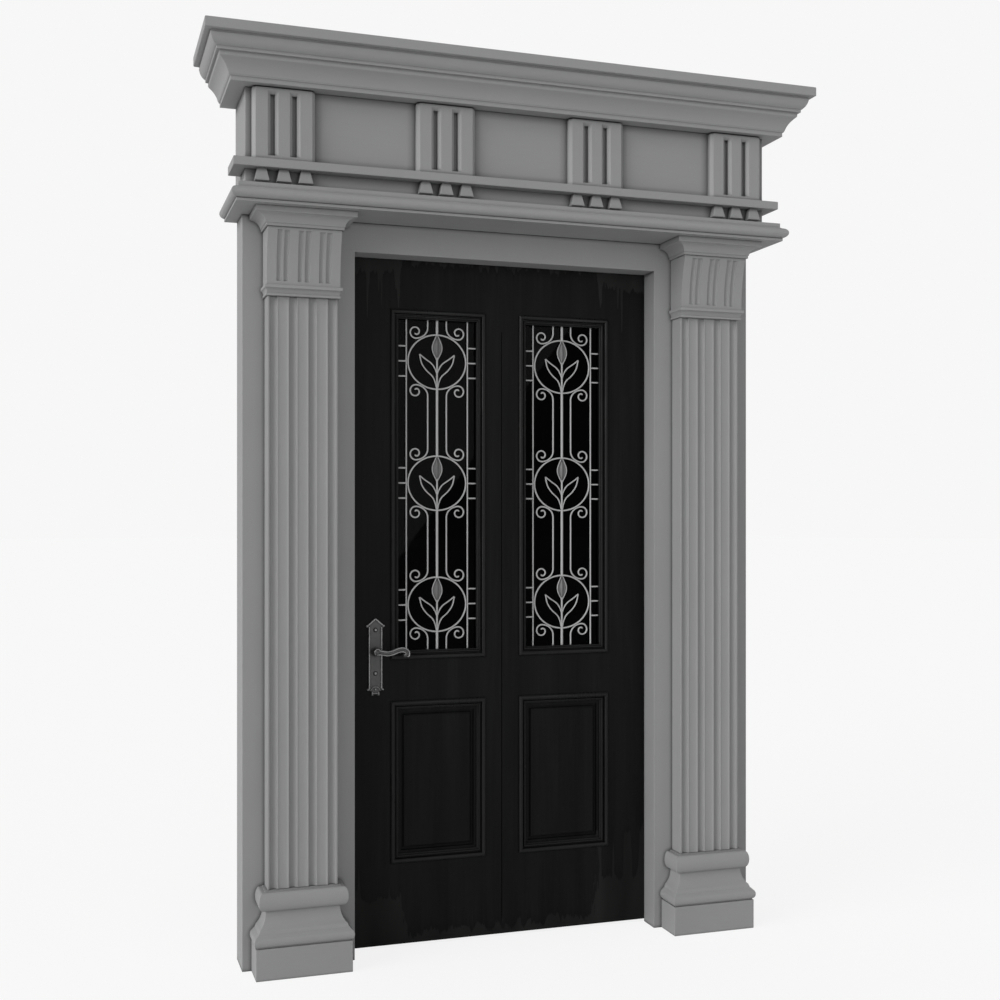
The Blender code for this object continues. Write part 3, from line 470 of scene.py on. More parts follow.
# %% The worn band along the leaf's edges
EDGE_BLUR = 0.004
HALO_REACH = 0.026
worn, given, result = new_group(
    "Worn edge",
    {"Place": ORIGIN, "Half width": LEAF_HALF, "Foot": FLOOR + LEAF_FOOT, "Top": FLOOR + LEAF_TOP,
     "Top band": 0.016, "Foot band": 0.028, "Top patch": 0.044, "Foot patch": 0.120, "Patch width": 0.190,
     "Side band": 0.005},
    ("Mask", "Halo", "Top"))
axes = add_node(worn, "ShaderNodeSeparateXYZ", {0: given["Place"]})
ragged = noise(worn, stretched(worn, given["Place"], (1.0, 1.0, 0.10)), 60.0, 4.0, 0.6)
shake = maths(worn, "MULTIPLY", maths(worn, "SUBTRACT", ragged, NOISE_MIDDLE), 0.11)
from_side = maths(worn, "SUBTRACT", given["Half width"], maths(worn, "ABSOLUTE", axes["X"]))
patch_end = maths(worn, "ADD", given["Patch width"], shake)
near_side = maths(worn, "DIVIDE", maths(worn, "SUBTRACT", patch_end, from_side), 0.02, clamp=True)
drips = noise(worn, stretched(worn, given["Place"], (1.0, 0.0, 0.01)), 34.0, 2.0)
drip_place = maths(worn, "MULTIPLY", maths(worn, "SUBTRACT", drips, 0.54), 12.0, clamp=True)
drip_length = maths(worn, "ADD", maths(worn, "MULTIPLY", near_side, 0.13), 0.008)
drip = maths(worn, "MULTIPLY", drip_place, drip_length)
gaps = []
for end, sense in (("Top", 1.0), ("Foot", -1.0)):
    away = maths(worn, "MULTIPLY", maths(worn, "SUBTRACT", given[end], axes["Z"]), sense)
    deep = maths(worn, "ADD", given[end + " band"], maths(worn, "MULTIPLY", near_side, given[end + " patch"]))
    gaps.append(maths(worn, "SUBTRACT", maths(worn, "ADD", deep, maths(worn, "ADD", drip, shake)), away))
side_band = maths(worn, "ADD", given["Side band"], maths(worn, "MULTIPLY", shake, 0.35))
gaps.append(maths(worn, "SUBTRACT", side_band, from_side))
inside = maths(worn, "MAXIMUM", maths(worn, "MAXIMUM", gaps[0], gaps[1]), gaps[2])
mask = maths(worn, "DIVIDE", inside, EDGE_BLUR, clamp=True)
halo = maths(worn, "DIVIDE", maths(worn, "ADD", inside, HALO_REACH), HALO_REACH, clamp=True)
# Top is the worn band along the top edge; the door's colour lifts it further as painted light.
fill(worn, result, {"Mask": mask, "Halo": maths(worn, "SUBTRACT", halo, mask, clamp=True),
                    "Top": maths(worn, "DIVIDE", gaps[0], EDGE_BLUR, clamp=True)})

# %% The grain of the timber
grain, given, result = new_group("Timber grain", {"Place": ORIGIN, "Fineness": 90.0}, ("Lines", "Height"))
pulled = stretched(grain, given["Place"], (1.0, 1.0, 0.035))
figure = noise(grain, pulled, given["Fineness"], 6.0, 0.62, 0.5)
broad = noise(grain, pulled, 22.0, 3.0)
lines = maths(grain, "ADD", maths(grain, "MULTIPLY", figure, 0.6), maths(grain, "MULTIPLY", broad, 0.4))
fill(grain, result, {"Lines": lines, "Height": maths(grain, "POWER", lines, 1.6)})

# %% Black painted timber
BLACK = (0.0026, 0.0026, 0.0028, 1.0)
BLACK_RAISED = (0.0058, 0.0058, 0.0058, 1.0)
BLACK_WORN = (0.0098, 0.0098, 0.0096, 1.0)
black_timber, tree, shader, place = start_material("black_paint_over_grain")
wood = add_node(tree, "ShaderNodeGroup", {"Place": place}, node_tree=grain)
wear = add_node(tree, "ShaderNodeGroup", {"Place": place}, node_tree=worn)
contrast = maths(tree, "MULTIPLY", maths(tree, "SUBTRACT", wood["Lines"], 0.36), 3.4, clamp=True)
rubbed = mixed(tree, wear["Mask"], mixed(tree, contrast, BLACK, BLACK_RAISED), BLACK_WORN)
edge = maths(tree, "SUBTRACT", 1.0, maths(tree, "MULTIPLY", wear["Halo"], 0.30))
# Painted light: the worn band along the top is brightened against the shadow that the frame's head casts on
# it.
edge = maths(tree, "ADD", edge, maths(tree, "MULTIPLY", wear["Top"], 0.45))
streaks = noise(tree, stretched(tree, place, (11.0, 3.0, 1.3)), 1.0, 3.0)
fading = maths(tree, "ADD", 0.12, maths(tree, "MULTIPLY", streaks, 1.85))
coat = scaled(tree, rubbed, maths(tree, "MULTIPLY", edge, fading))
left_grain = maths(tree, "MULTIPLY", wood["Height"], maths(tree, "SUBTRACT", 1.0, wear["Mask"]))
# Painted shade darkens the coat in creases.
fill(tree, shader, {"Base Color": painted_crevice_shade(tree, coat, 0.005, 0.8), "Specular IOR Level": 0.115,
                    "Normal": bumped(tree, left_grain, 0.0006, 0.8),
                    "Roughness": maths(tree, "ADD", 0.52, maths(tree, "MULTIPLY", wear["Mask"], 0.12))})

# The mouldings take a lighter copy of the black paint as a painted highlight on their beads, and strong
# painted shade in their quirks.
black_moulding = painted("black_paint_on_mouldings_with_painted_highlight_and_shade", (0.0100,) * 3, UPRIGHT_STROKE, 0.35, 0.36, 0.0002,
                         0.010, 2.4)
shader = black_moulding.node_tree.nodes["Principled BSDF"].inputs
shader["Specular IOR Level"].default_value = 0.18
print("finishes:", black_timber.name, black_moulding.name)

# %% [markdown]
# ## Glass and metal
#
# Behind the grilles the panes are glass tinted nearly black, a painted shade that stands for the dark
# room behind them, so smooth that only plain values are needed.  The grilles are wrought bars under a
# pale grey paint, with the faint unevenness of hammered iron; the buds' faces take a darker copy of it
# as painted shade.  The door furniture is a dull cast metal.  Its trims, rims and screw heads take a
# lighter copy, partly rubbed brighter by hands and partly a painted highlight, and the collars round
# the screws are painted dark as their shadow.

# %% Glass, iron and cast metal
# Painted shade: the glass is tinted nearly black, standing for the dark room that would lie behind it.
glass_tinted_as_painted_dark_interior, tree, shader, place = start_material("glass_tinted_as_painted_dark_interior")
fill(tree, shader, {"Base Color": (0.001, 0.001, 0.0011, 1.0), "Roughness": 0.02, "Transmission Weight": 0.6,
                    "IOR": 1.09, "Normal": bumped(tree, noise(tree, place, 7.0, 1.0), 0.0003, 0.3)})
# Both irons darken their crevices by painted shade; the second is a darker copy of the pale iron, painted
# shade for the buds' hollow faces.
pale_iron = painted("pale_painted_iron", (0.44,) * 3, HAMMERED, 0.18, 0.48, 0.00025, 0.006, 0.8)
shaded_iron = painted("iron_darkened_as_painted_shade", (0.15,) * 3, HAMMERED, 0.25, 0.50, 0.00025, 0.004, 1.0)


def cast(name, dark, light, rough, shade):
    """Cast metal whose tarnish wanders between a dark and a light grey, finely pitted, with painted shade in
    its crevices.
    """
    material, tree, shader, place = start_material(name)
    tarnish = noise(tree, place, 60.0, 5.0, 0.6)
    tone = maths(tree, "ADD", dark, maths(tree, "MULTIPLY", tarnish, light - dark))
    fill(tree, shader, {"Base Color": painted_crevice_shade(tree, tone, 0.006, shade), "Metallic": 0.65,
                        "Roughness": maths(tree, "ADD", rough, maths(tree, "MULTIPLY", tarnish, 0.25)),
                        "Normal": bumped(tree, noise(tree, place, 700.0, 2.0), 0.0001, 0.8)})
    return material


dull_metal = cast("dull_cast_metal", 0.052, 0.118, 0.28, 1.4)
# A lighter copy of the metal for trims, rims and screw heads: partly rubbed by hands, partly a painted
# highlight.
rubbed_and_highlit_metal = cast("metal_rubbed_by_hands_and_lightened_as_painted_highlight", 0.300, 0.430, 0.16, 0.2)
# A near-black metal for the collars round the screws: a painted shadow ring.
dark_metal = cast("metal_darkened_as_painted_shadow_ring", 0.010, 0.030, 0.35, 1.4)
print("finishes:", glass_tinted_as_painted_dark_interior.name, pale_iron.name, shaded_iron.name, dull_metal.name, rubbed_and_highlit_metal.name)

# %% [markdown]
# ## The frame
#
# Two jambs and a head make the frame, and paint has closed the joints between them, so it shows as
# one piece.  Seen from the front it is a U turned upside down.  Carried back from the face, the
# opening steps outwards by a rebate that takes the door.

# %% The frame as one upturned U
STOP = LEAF_FRONT - 0.001
ARRIS = 0.0015


def frame_ring(inner, ease, outer_y, inner_y):
    """The U's eight corners, drawn in by the ease, its outer and inner corners at their own depths."""
    half = FRAME_HALF - ease
    top = FRAME_TOP - GAP - ease
    inner_half = OPENING_HALF + inner + ease
    inner_top = OPENING_HEIGHT + inner + ease
    x = (-half, -half, half, half, inner_half, inner_half, -inner_half, -inner_half)
    z = (0.0, top, top, 0.0, 0.0, inner_top, inner_top, 0.0)
    return np.column_stack((x, (outer_y,) * 4 + (inner_y,) * 4, z))


rings = []
for turn in np.radians((0.0, 30.0, 60.0, 90.0)):
    depth = FACE + ARRIS * (1 - math.cos(turn))
    rings.append(frame_ring(0.0, ARRIS * (1 - math.sin(turn)), depth, depth))
rings += [frame_ring(0.0, 0.0, STOP - 0.020, STOP), frame_ring(REBATE_LAP, 0.0, STOP, STOP),
          frame_ring(REBATE_LAP, 0.0, 0.0, 0.0)]
add_piece("frame_of_jambs_and_head", [np.stack(rings)], grey_upright, "surround",
          ["jamb_left", "jamb_right", "head"])
print("frame: one U of", round(FRAME_HALF - OPENING_HALF, 4), "m wide boards")

# %% [markdown]
# ## The pilasters
#
# A pilaster is a flat column.  From the floor up it has a square plinth, a moulded base, a fluted
# shaft, a thin necking moulding, a capital block and an abacus.  Plinth, base, necking and abacus
# are moulded blocks, each with the profile a joiner would plane.

# %% Plinth, base, necking and abacus
PLINTH_HEIGHT = 0.091
BASE_HEIGHT = 0.156
SHAFT_FOOT = PLINTH_HEIGHT + BASE_HEIGHT
NECKING_FOOT = 1.946
CAPITAL_FOOT = 1.976
CAPITAL_TOP = 2.137
PILASTER_BACK = FACE - GAP

plinth_section = profile((0.0370, 0.0), (0.0375, 0.0010), (0.0375, PLINTH_HEIGHT - GAP - 0.0012),
                         (0.0363, PLINTH_HEIGHT - GAP))
base_section = profile(
    (0.0340, GAP), (0.0340, 0.003), arc((0.0340, 0.0175), (0.0085, 0.0140), -80, 70, 16), (0.0290, 0.038),
    bend((0.0270, 0.046), (0.0070, 0.062), (0.0060, 0.097), 20)[1:], (0.0070, 0.0990),
    arc((0.0150, 0.1265), (0.0125, 0.0268), -85, 77, 24), (0.0080, BASE_HEIGHT - 0.003),
    (0.0080, BASE_HEIGHT - GAP))
necking_section = profile(
    (0.0060, 0.0140, GAP), (0.0060, 0.0140, 0.006),
    bend((0.0040, 0.0120, 0.007), (0.0045, 0.0130, 0.017), (0.0095, 0.0215, 0.020), 12),
    (0.0110, 0.0240, 0.021), (0.0110, 0.0240, 0.0285), (0.0100, 0.0230, 0.030 - GAP))
abacus_section = profile(
    (0.0105, 0.0500, GAP), (0.0105, 0.0500, 0.008),
    bend((0.0125, 0.0520, 0.0085), (0.0150, 0.0560, 0.028), (0.0390, 0.0745, 0.033), 16),
    (0.0430, 0.0785, 0.034), (0.0430, 0.0785, 0.050 - GAP))
levels = {"plinth": even(plinth_section, 0.0), "base": even(soften(base_section, 0.001), PLINTH_HEIGHT),
          "necking": soften(necking_section, 0.0008) + np.array((0.0, 0.0, NECKING_FOOT)),
          "abacus": soften(abacus_section, 0.001) + np.array((0.0, 0.0, CAPITAL_TOP))}
for side, tag in SIDES:
    for part, outline in levels.items():
        rings = moulded_block(side * PILASTER_CENTRE, SHAFT_HALF, SHAFT_FRONT, PILASTER_BACK, outline)
        add_piece(f"{part}_moulding_{tag}", [rings], grey_level, "surround", [f"{part}_{tag}"])
print("pilasters: plinths, bases, neckings and abaci")

# %% [markdown]
# ## Flutes
#
# The shaft has four narrow flutes, and the flat bands between them are dished a little as well,
# so the light breaks on six or seven upright lines.  All are half ovals in plan: x runs from one
# lip to the other as a cosine and the depth follows as a sine.

# %% The fluted shafts
FLUTE_WIDTH = 0.022
FLUTE_DEPTH = 0.0095
FLUTE_PITCH = 0.0565
LIP = 0.0035
BAND_WIDTH = FLUTE_PITCH - FLUTE_WIDTH - 2 * LIP
BAND_DISH = 0.0018


def hollow(middle, width, depth, steps):
    """Half an oval cut into the shaft's front: (middle - w/2 cos a, front + depth sin a)."""
    angle = np.linspace(0.0, math.pi, steps + 1)
    return np.stack((middle - width / 2 * np.cos(angle), SHAFT_FRONT + depth * np.sin(angle)), axis=1)


for side, tag in SIDES:
    centre = side * PILASTER_CENTRE
    plan = [(centre - SHAFT_HALF, PILASTER_BACK), (centre - SHAFT_HALF, SHAFT_FRONT)]
    for flute in range(4):
        middle = centre + FLUTE_PITCH * (flute - 1.5)
        plan.append(hollow(middle, FLUTE_WIDTH, FLUTE_DEPTH, 18))
        if flute < 3:
            plan.append(hollow(middle + FLUTE_PITCH / 2, BAND_WIDTH, BAND_DISH, 12))
    plan += [(centre + SHAFT_HALF, SHAFT_FRONT), (centre + SHAFT_HALF, PILASTER_BACK)]
    shaft = board(soften(profile(*plan), 0.001, closed=True), SHAFT_FOOT + GAP, NECKING_FOOT - GAP, 0.0002)
    add_piece(f"fluted_shaft_{tag}", [shaft], grey_fluted, "surround", [f"shaft_{tag}"])
print("shafts: four flutes each")

# %% [markdown]
# ## The capital block
#
# The block's face leans forward in a curve as it rises, like a small corbel.  Three pairs of
# channels are cut into it, each stopped with a rounded end above the necking and below the
# abacus.  Every level is the same plan with its channels cut to a depth that depends on height:
# full in the middle, and falling to nothing over a few millimetres at each end.

# %% The capital blocks
LEAN_FOOT = 0.017
LEAN_HEAD = 0.041
CHANNEL_PITCH = 0.061
CHANNEL_WIDTH = 0.015
CHANNEL_RIDGE = 0.005
CHANNEL_DEPTH = 0.0060
CHANNEL_END = 0.004
CHANNEL_LOW = CAPITAL_FOOT + 0.011
CHANNEL_HIGH = CAPITAL_TOP - 0.008


def capital_plan(centre):
    """Plan of the block as x, and how much of the channel's depth each point takes."""
    half = SHAFT_HALF + 0.0045
    angle = np.linspace(0.0, math.pi, 15)
    xs = [[centre - half] * 2]
    cuts = [[0.0, 0.0]]
    for pair in (-1, 0, 1):
        for side in (-1, 1):
            middle = centre + pair * CHANNEL_PITCH + side * (CHANNEL_RIDGE + CHANNEL_WIDTH) / 2
            xs.append(middle - CHANNEL_WIDTH / 2 * np.cos(angle))
            cuts.append(np.sin(angle) ** 0.9)
    return np.concatenate([*xs, [centre + half] * 2]), np.concatenate([*cuts, [0.0, 0.0]])


def capital_rings(centre):
    """Rings over height: y = front - lean + depth * cut, and the lean grows with height squared."""
    ends = np.linspace(0.0, 1.0, 8)
    low = CHANNEL_LOW + CHANNEL_END * ends
    high = CHANNEL_HIGH - CHANNEL_END * ends[::-1]
    middle = np.linspace(low[-1], high[0], 14)[1:-1]
    z = np.concatenate(([CAPITAL_FOOT + GAP], low, middle, high, [CAPITAL_TOP - GAP]))[:, None]
    share = np.clip((z - CHANNEL_LOW) / (CHANNEL_HIGH - CHANNEL_LOW), 0.0, 1.0)
    lean = LEAN_FOOT + (LEAN_HEAD - LEAN_FOOT) * share ** 2
    from_end = np.clip(np.minimum(z - CHANNEL_LOW, CHANNEL_HIGH - z) / CHANNEL_END, 0.0, 1.0)
    depth = CHANNEL_DEPTH * np.sqrt(1 - (1 - from_end) ** 2)
    x, cut = capital_plan(centre)
    front = SHAFT_FRONT - lean + depth * cut
    front[:, [0, -1]] = PILASTER_BACK
    return grid(x, front, z)


for side, tag in SIDES:
    rings = capital_rings(side * PILASTER_CENTRE)
    add_piece(f"channelled_capital_{tag}", [rings], grey_fluted, "surround", [f"capital_{tag}"])
print("capitals: three pairs of stopped channels each")

# %% [markdown]
# ## The entablature
#
# Three long mouldings lie across the pilasters: a cap with one fat round, the flat frieze, and a
# cornice that steps out through two S curves to a broad square edge.  A square band, the taenia,
# runs round the frieze below the triglyphs.

# %% Cap, frieze, taenia and cornice
BOARD_ARRIS = 0.0011
cap_section = profile(
    (0.0720, GAP), (0.0720, 0.0080), (0.0690, 0.0085), arc((0.0690, 0.0245), (0.0175, 0.0155), -80, 80, 24),
    (0.0660, 0.0432), (0.0660, 0.0564 - GAP))
cap_outline = even(cap_section, FRAME_TOP) - np.array((0.0387, 0.0, 0.0))
cornice_section = profile(
    (0.0465, GAP), (0.0465, 0.0115), (0.0500, 0.0135), (0.0505, 0.0155),
    bend((0.0520, 0.0170), (0.0580, 0.0400), (0.0790, 0.0560), 24), (0.0805, 0.0590), (0.0805, 0.0685),
    (0.0885, 0.0690), (0.0885, 0.0770), bend((0.0900, 0.0775), (0.1035, 0.0860), (0.1070, 0.1070), 20),
    (0.1060, 0.1090), (0.1060, 0.1130), (0.1205, 0.1135), (0.1230, 0.1150), (0.1230, 0.140), (0.1210, 0.142))
FRIEZE_HEIGHT = FRIEZE_TOP - FRIEZE_FOOT
frieze_section = profile((-0.0008, GAP), (0.0, BOARD_ARRIS), (0.0, FRIEZE_HEIGHT - BOARD_ARRIS),
                         (-0.0008, FRIEZE_HEIGHT - GAP))
for name, node, outline, finish in (
        ("architrave_cap_moulding", "architrave_cap", soften(cap_outline, 0.001), grey_level),
        ("cornice_moulding", "cornice", even(soften(cornice_section, 0.001), FRIEZE_TOP), grey_level),
        ("frieze_board", "frieze", even(frieze_section, FRIEZE_FOOT), grey_shaded)):
    rings = moulded_block(0.0, FRIEZE_HALF, FRIEZE_FRONT, 0.0, outline)
    add_piece(name, [rings], finish, "surround", [node])

TAENIA_FOOT = FRIEZE_FOOT + 0.0516
TAENIA_TOP = TAENIA_FOOT + 0.0245
out, level = rectangle(GAP, 0.0365, TAENIA_FOOT, TAENIA_TOP, 0.002).T
side = np.array((-1.0, -1.0, 1.0, 1.0))[:, None]
at_front = np.array((False, True, True, False))[:, None]
rings = grid(side * (FRIEZE_HALF + out), np.where(at_front, FRIEZE_FRONT - out, FACE), level)
add_piece("taenia_band", [rings], grey_level, "surround", ["taenia"])
print("entablature: cap, frieze, taenia and cornice")

# %% [markdown]
# ## Triglyphs and guttae
#
# A triglyph is a thick plate with two deep grooves, standing on the taenia, with its upper corners
# rounded and its sides bevelled.  Each groove has a sloping lip and a narrow slot inside it.  Under
# each plate hang three guttae, little drops that widen downwards.  The plate is a surface over
# height and width: every level has the same columns, and a groove is as deep as the smaller of its
# own section and a limit, which jumps up at the foot and falls away slowly at the top.

# %% Triglyphs and guttae
TRIGLYPH_HALF = 0.089
TRIGLYPH_THICK = 0.025
SIDE_BEVEL = 0.009
TOP_BEVEL = 0.0025
CORNER = 0.007
LIP_HALF = 0.01475
LIP_SLOPE = 0.0085
SLOT_DEPTH = 0.019
GROOVE_SPACING = 0.062
GROOVE_MARGIN = 0.011
EDGE = 0.0003
GUTTA_HALF = 0.0205
GUTTA_FOOT = TAENIA_FOOT - 0.0366


def groove_section():
    """Half of a groove as (x, depth): a 45 degree lip, then the slot's wall and floor; mirrored."""
    half = [(-LIP_HALF - 0.003, 0.0), (-LIP_HALF, 0.0), (-LIP_HALF + LIP_SLOPE / 2, LIP_SLOPE / 2),
            (-LIP_HALF + LIP_SLOPE, LIP_SLOPE), (-LIP_HALF + LIP_SLOPE + EDGE, SLOT_DEPTH)]
    whole = np.array(half + [(-x, depth) for x, depth in half[::-1]])
    return soften(whole, 0.0006)[1:-1]


def triglyph_rings(centre):
    """Rings over height: the corners follow a quarter round, and depth = min(section, limit)."""
    foot = TAENIA_TOP + GAP
    top = FRIEZE_TOP - GAP
    front = FRIEZE_FRONT - TRIGLYPH_THICK
    low = foot + GROOVE_MARGIN
    high = top - GROOVE_MARGIN
    slot_high = high - LIP_SLOPE
    corner = CORNER * (np.sin(np.linspace(0.0, math.pi / 2, 7)) - 1)
    z = np.concatenate(([foot, foot + 0.0008, low - EDGE, low + EDGE, slot_high - EDGE, slot_high + EDGE,
                         high - 0.004, high - 0.0005, high], top + corner))[:, None]
    fall = np.clip(high - z, 0.0, 1.0)
    limit = np.where(z > low, np.where(z < slot_high, SLOT_DEPTH, fall), 0.0)
    rise = np.clip((z - top + CORNER) / CORNER, 0.0, 1.0)
    half = TRIGLYPH_HALF - CORNER * (1 - np.sqrt(1 - rise ** 2))
    face = front + SIDE_BEVEL * np.clip((z - top + TOP_BEVEL) / TOP_BEVEL, 0.0, 1.0)
    across, cut = groove_section().T
    grooved = face + np.minimum(cut, limit)
    between = [across + sense * GROOVE_SPACING / 2 + np.zeros_like(half) for sense in (-1, 1)]
    x = np.concatenate((-half, -half, SIDE_BEVEL - half, *between, half - SIDE_BEVEL, half, half), axis=1)
    behind = np.full_like(half, FRIEZE_FRONT - GAP)
    edge = np.full_like(half, front + SIDE_BEVEL)
    y = np.concatenate((behind, edge, face, grooved, grooved, face, edge, behind), axis=1)
    return grid(centre + x, y, z)


gutta_outline = profile((-0.0010, 0.0290, GUTTA_FOOT), (0.0, 0.0300, GUTTA_FOOT + 0.0010),
                        (0.0, 0.0300, GUTTA_FOOT + 0.0030), (-0.0006, 0.0294, GUTTA_FOOT + 0.0036),
                        (-0.0075, 0.0225, TAENIA_FOOT - GAP))
for plate in range(4):
    centre = (FRIEZE_HALF - 0.017 - TRIGLYPH_HALF) * (2 * plate / 3 - 1)
    add_piece(f"triglyph_plate_{plate + 1}", [triglyph_rings(centre)], grey_upright, "surround",
              [f"triglyph_{plate + 1}"])
    for place in range(3):
        middle = centre + (place - 1) * GROOVE_SPACING
        rings = moulded_block(middle, GUTTA_HALF, FRIEZE_FRONT, FRIEZE_FRONT - GAP, gutta_outline)
        number = f"{plate * 3 + place + 1:02d}"
        add_piece(f"drop_{number}", [rings], grey_upright, "surround", [f"gutta_{number}"])
print("frieze: four triglyphs and twelve guttae")

# %% [markdown]
# ## The door leaf
#
# Stiles stand at both edges, rails lie between them and muntins stand between the rails.  Paint has
# closed their joints, so they show as one slab with four openings.  A narrow V seam runs down its
# middle, as if the leaf were a pair.
#
# The slab is a lattice.  Its lines run at every edge, the cells that aren't openings are filled,
# and wherever a filled cell meets an empty one, a wall runs back through the thickness.  Three
# layers of points make it: the face, drawn in by an arris at the outer edge, then the full outline
# just behind the face, and the back.

# %% Stiles, rails and muntins as one slab
STILE_INNER = 0.349
MUNTIN_HALF = 0.065
GLAZED_FOOT = 0.888
GLAZED_TOP = 1.939
PANEL_FOOT = 0.266
PANEL_TOP = 0.741
SEAM_HALF = 0.0025
SEAM_DEPTH = 0.003
SEAM_LOW = 0.049
SEAM_HIGH = 1.895
LEAF_ARRIS = 0.001


def lattice_walls(filled, corner):
    """Quads on layer 0 and 2 for filled cells, and wall quads where a cell's neighbour is empty.

    The corner array numbers the lattice points of one layer, rows by columns.
    """
    layer = corner.size
    row, column = np.nonzero(filled)
    square = np.stack((corner[row, column], corner[row, column + 1], corner[row + 1, column + 1],
                       corner[row + 1, column]), axis=1)
    faces = [square, square[:, ::-1] + 2 * layer]
    padded = np.pad(filled, 1)
    for side, (down, along) in enumerate(((-1, 0), (0, 1), (1, 0), (0, -1))):
        bare = ~padded[row + 1 + down, column + 1 + along]
        near = square[bare, side]
        far = square[bare, (side + 1) % 4]
        for depth in (0, 1):
            faces.append(np.stack((far, near, near + layer, far + layer), axis=1) + depth * layer)
    return np.concatenate(faces)


half_columns = np.array((SEAM_HALF, SEAM_HALF + 0.0006, MUNTIN_HALF, STILE_INNER, LEAF_HALF))
columns = np.concatenate((-half_columns[::-1], [0.0], half_columns))
rows = np.array((LEAF_FOOT, SEAM_LOW, SEAM_LOW + 2 * SEAM_HALF, PANEL_FOOT, PANEL_TOP, GLAZED_FOOT,
                 SEAM_HIGH - 2 * SEAM_HALF, SEAM_HIGH, GLAZED_TOP, LEAF_TOP))
middle_x = np.abs(columns[1:] + columns[:-1])[None, :] / 2
middle_z = (rows[1:] + rows[:-1])[:, None] / 2
in_width = (middle_x > MUNTIN_HALF) & (middle_x < STILE_INNER)
in_panel = (middle_z > PANEL_FOOT) & (middle_z < PANEL_TOP)
in_glass = (middle_z > GLAZED_FOOT) & (middle_z < GLAZED_TOP)
corner = np.arange(len(rows) * len(columns)).reshape(len(rows), len(columns))
faces = lattice_walls(~(in_width & (in_panel | in_glass)), corner)
x, z = np.meshgrid(columns, rows)
fade = np.clip(np.minimum(rows - SEAM_LOW, SEAM_HIGH - rows) / (2 * SEAM_HALF), 0.0, 1.0)[:, None]
dip = np.select([columns == 0.0, np.abs(columns) == SEAM_HALF], [SEAM_DEPTH, 0.0004], 0.0)[None, :] * fade
face_x = np.clip(x, -LEAF_HALF + LEAF_ARRIS, LEAF_HALF - LEAF_ARRIS)
face_z = np.clip(z, LEAF_FOOT + LEAF_ARRIS, LEAF_TOP - LEAF_ARRIS)
layers = [grid(face_x, LEAF_FRONT + dip, face_z), grid(x, LEAF_FRONT + LEAF_ARRIS + dip, z), grid(x, 0.0, z)]
used, numbers = np.unique(faces, return_inverse=True)
add_mesh("door_slab", np.concatenate(layers).reshape(-1, 3)[used], numbers.reshape(faces.shape).tolist(),
         black_timber, "leaf",
         ["stile_left", "stile_right", "rail_top", "rail_lock", "rail_bottom", "muntin_upper",
          "muntin_lower"],
         crease=20.0)
print("leaf: one slab of", len(faces), "faces with four openings")

# %% [markdown]
# ## Panel and pane mouldings
#
# Each opening has a raised moulding that laps over its edge: a broad round bead outside, a dark
# quirk, a thin second bead, and a slope down to the glass or the panel.  It is a mitred frame.
# Behind the glass a plain bead holds it from inside.

# %% Mouldings, glass, beads and panels
PANE_CENTRE = 0.207
PANE_HALF = 0.142
GLASS_FRONT = -0.020
GLASS_BACK = -0.014
GLASS_ARRIS = 0.0005
PANEL_FRONT = LEAF_FRONT + 0.0115
LAP = 0.0167


def opening_moulding(seat):
    """Closed section of the moulding as (distance in from the opening, y)."""
    section = profile(
        (-0.010, -GAP), (-0.010, -0.003), bend((-0.009, -0.0045), (-0.004, -0.0110), (0.0025, -0.0050), 14),
        (0.0035, 0.001), (0.0040, 0.004), (0.0066, 0.004),
        arc((0.0098, 0.0032), (0.0030, 0.0036), 180, 360, 10), (0.0130, 0.0055), (0.0150, 0.0065),
        (LAP, 0.0080), (LAP, seat - LEAF_FRONT), (GAP, seat - LEAF_FRONT), (GAP, -GAP))
    return soften(section + np.array((0.0, LEAF_FRONT)), 0.0005, closed=True)


def fielded_panel(centre):
    """Rings from the panel's back over a sunk groove to its field: (inset, y) of one rectangle."""
    steps = profile((GAP, 0.018), (GAP, 0.0), (0.0250, 0.0), (0.0262, 0.0065), (0.0325, 0.0065),
                    (0.0340, 0.0005), (0.0355, -0.0003), (0.0395, -0.0032), (0.0410, -0.0035))
    inset, y = steps.T[..., None]
    side = np.array((-1.0, 1.0, 1.0, -1.0))
    at_top = np.array((False, False, True, True))
    z = np.where(at_top, PANEL_TOP - inset, PANEL_FOOT + inset)
    return grid(centre + side * (PANE_HALF - inset), PANEL_FRONT + y, z)


bead_section = profile((GAP, GLASS_BACK + GAP), (0.015, GLASS_BACK + GAP), (0.015, GLASS_BACK + 0.0043),
                       (0.004, -0.002), (GAP, -0.002))
bead_section = soften(bead_section, 0.0012, closed=True)
for side, tag in SIDES:
    centre = side * PANE_CENTRE
    for kind, low, high, seat in (("glazed", GLAZED_FOOT, GLAZED_TOP, GLASS_FRONT - GAP),
                                  ("panel", PANEL_FOOT, PANEL_TOP, PANEL_FRONT - GAP)):
        rings = mitred_frame(centre, PANE_HALF, low, high, opening_moulding(seat))
        add_piece(f"{kind}_moulding_{tag}", [(rings, True)], black_moulding, "leaf",
                  [f"moulding_{kind}_{tag}"])
    rings = mitred_frame(centre, PANE_HALF, GLAZED_FOOT, GLAZED_TOP, bead_section)
    add_piece(f"glazing_bead_{tag}", [(rings, True)], black_timber, "leaf", [f"bead_{tag}"])
    add_piece(f"fielded_panel_{tag}", [fielded_panel(centre)], black_timber, "leaf",
              [f"panel_{tag}"])
    half = PANE_HALF - GAP
    plan = rectangle(centre - half, centre + half, GLASS_FRONT, GLASS_BACK, GLASS_ARRIS)
    pane = board(plan, GLAZED_FOOT + GAP, GLAZED_TOP - GAP, GLASS_ARRIS)
    add_piece(f"pane_{tag}", [pane], glass_tinted_as_painted_dark_interior, "leaf", [f"glass_{tag}"])
print("openings: mouldings, panes, beads and panels")

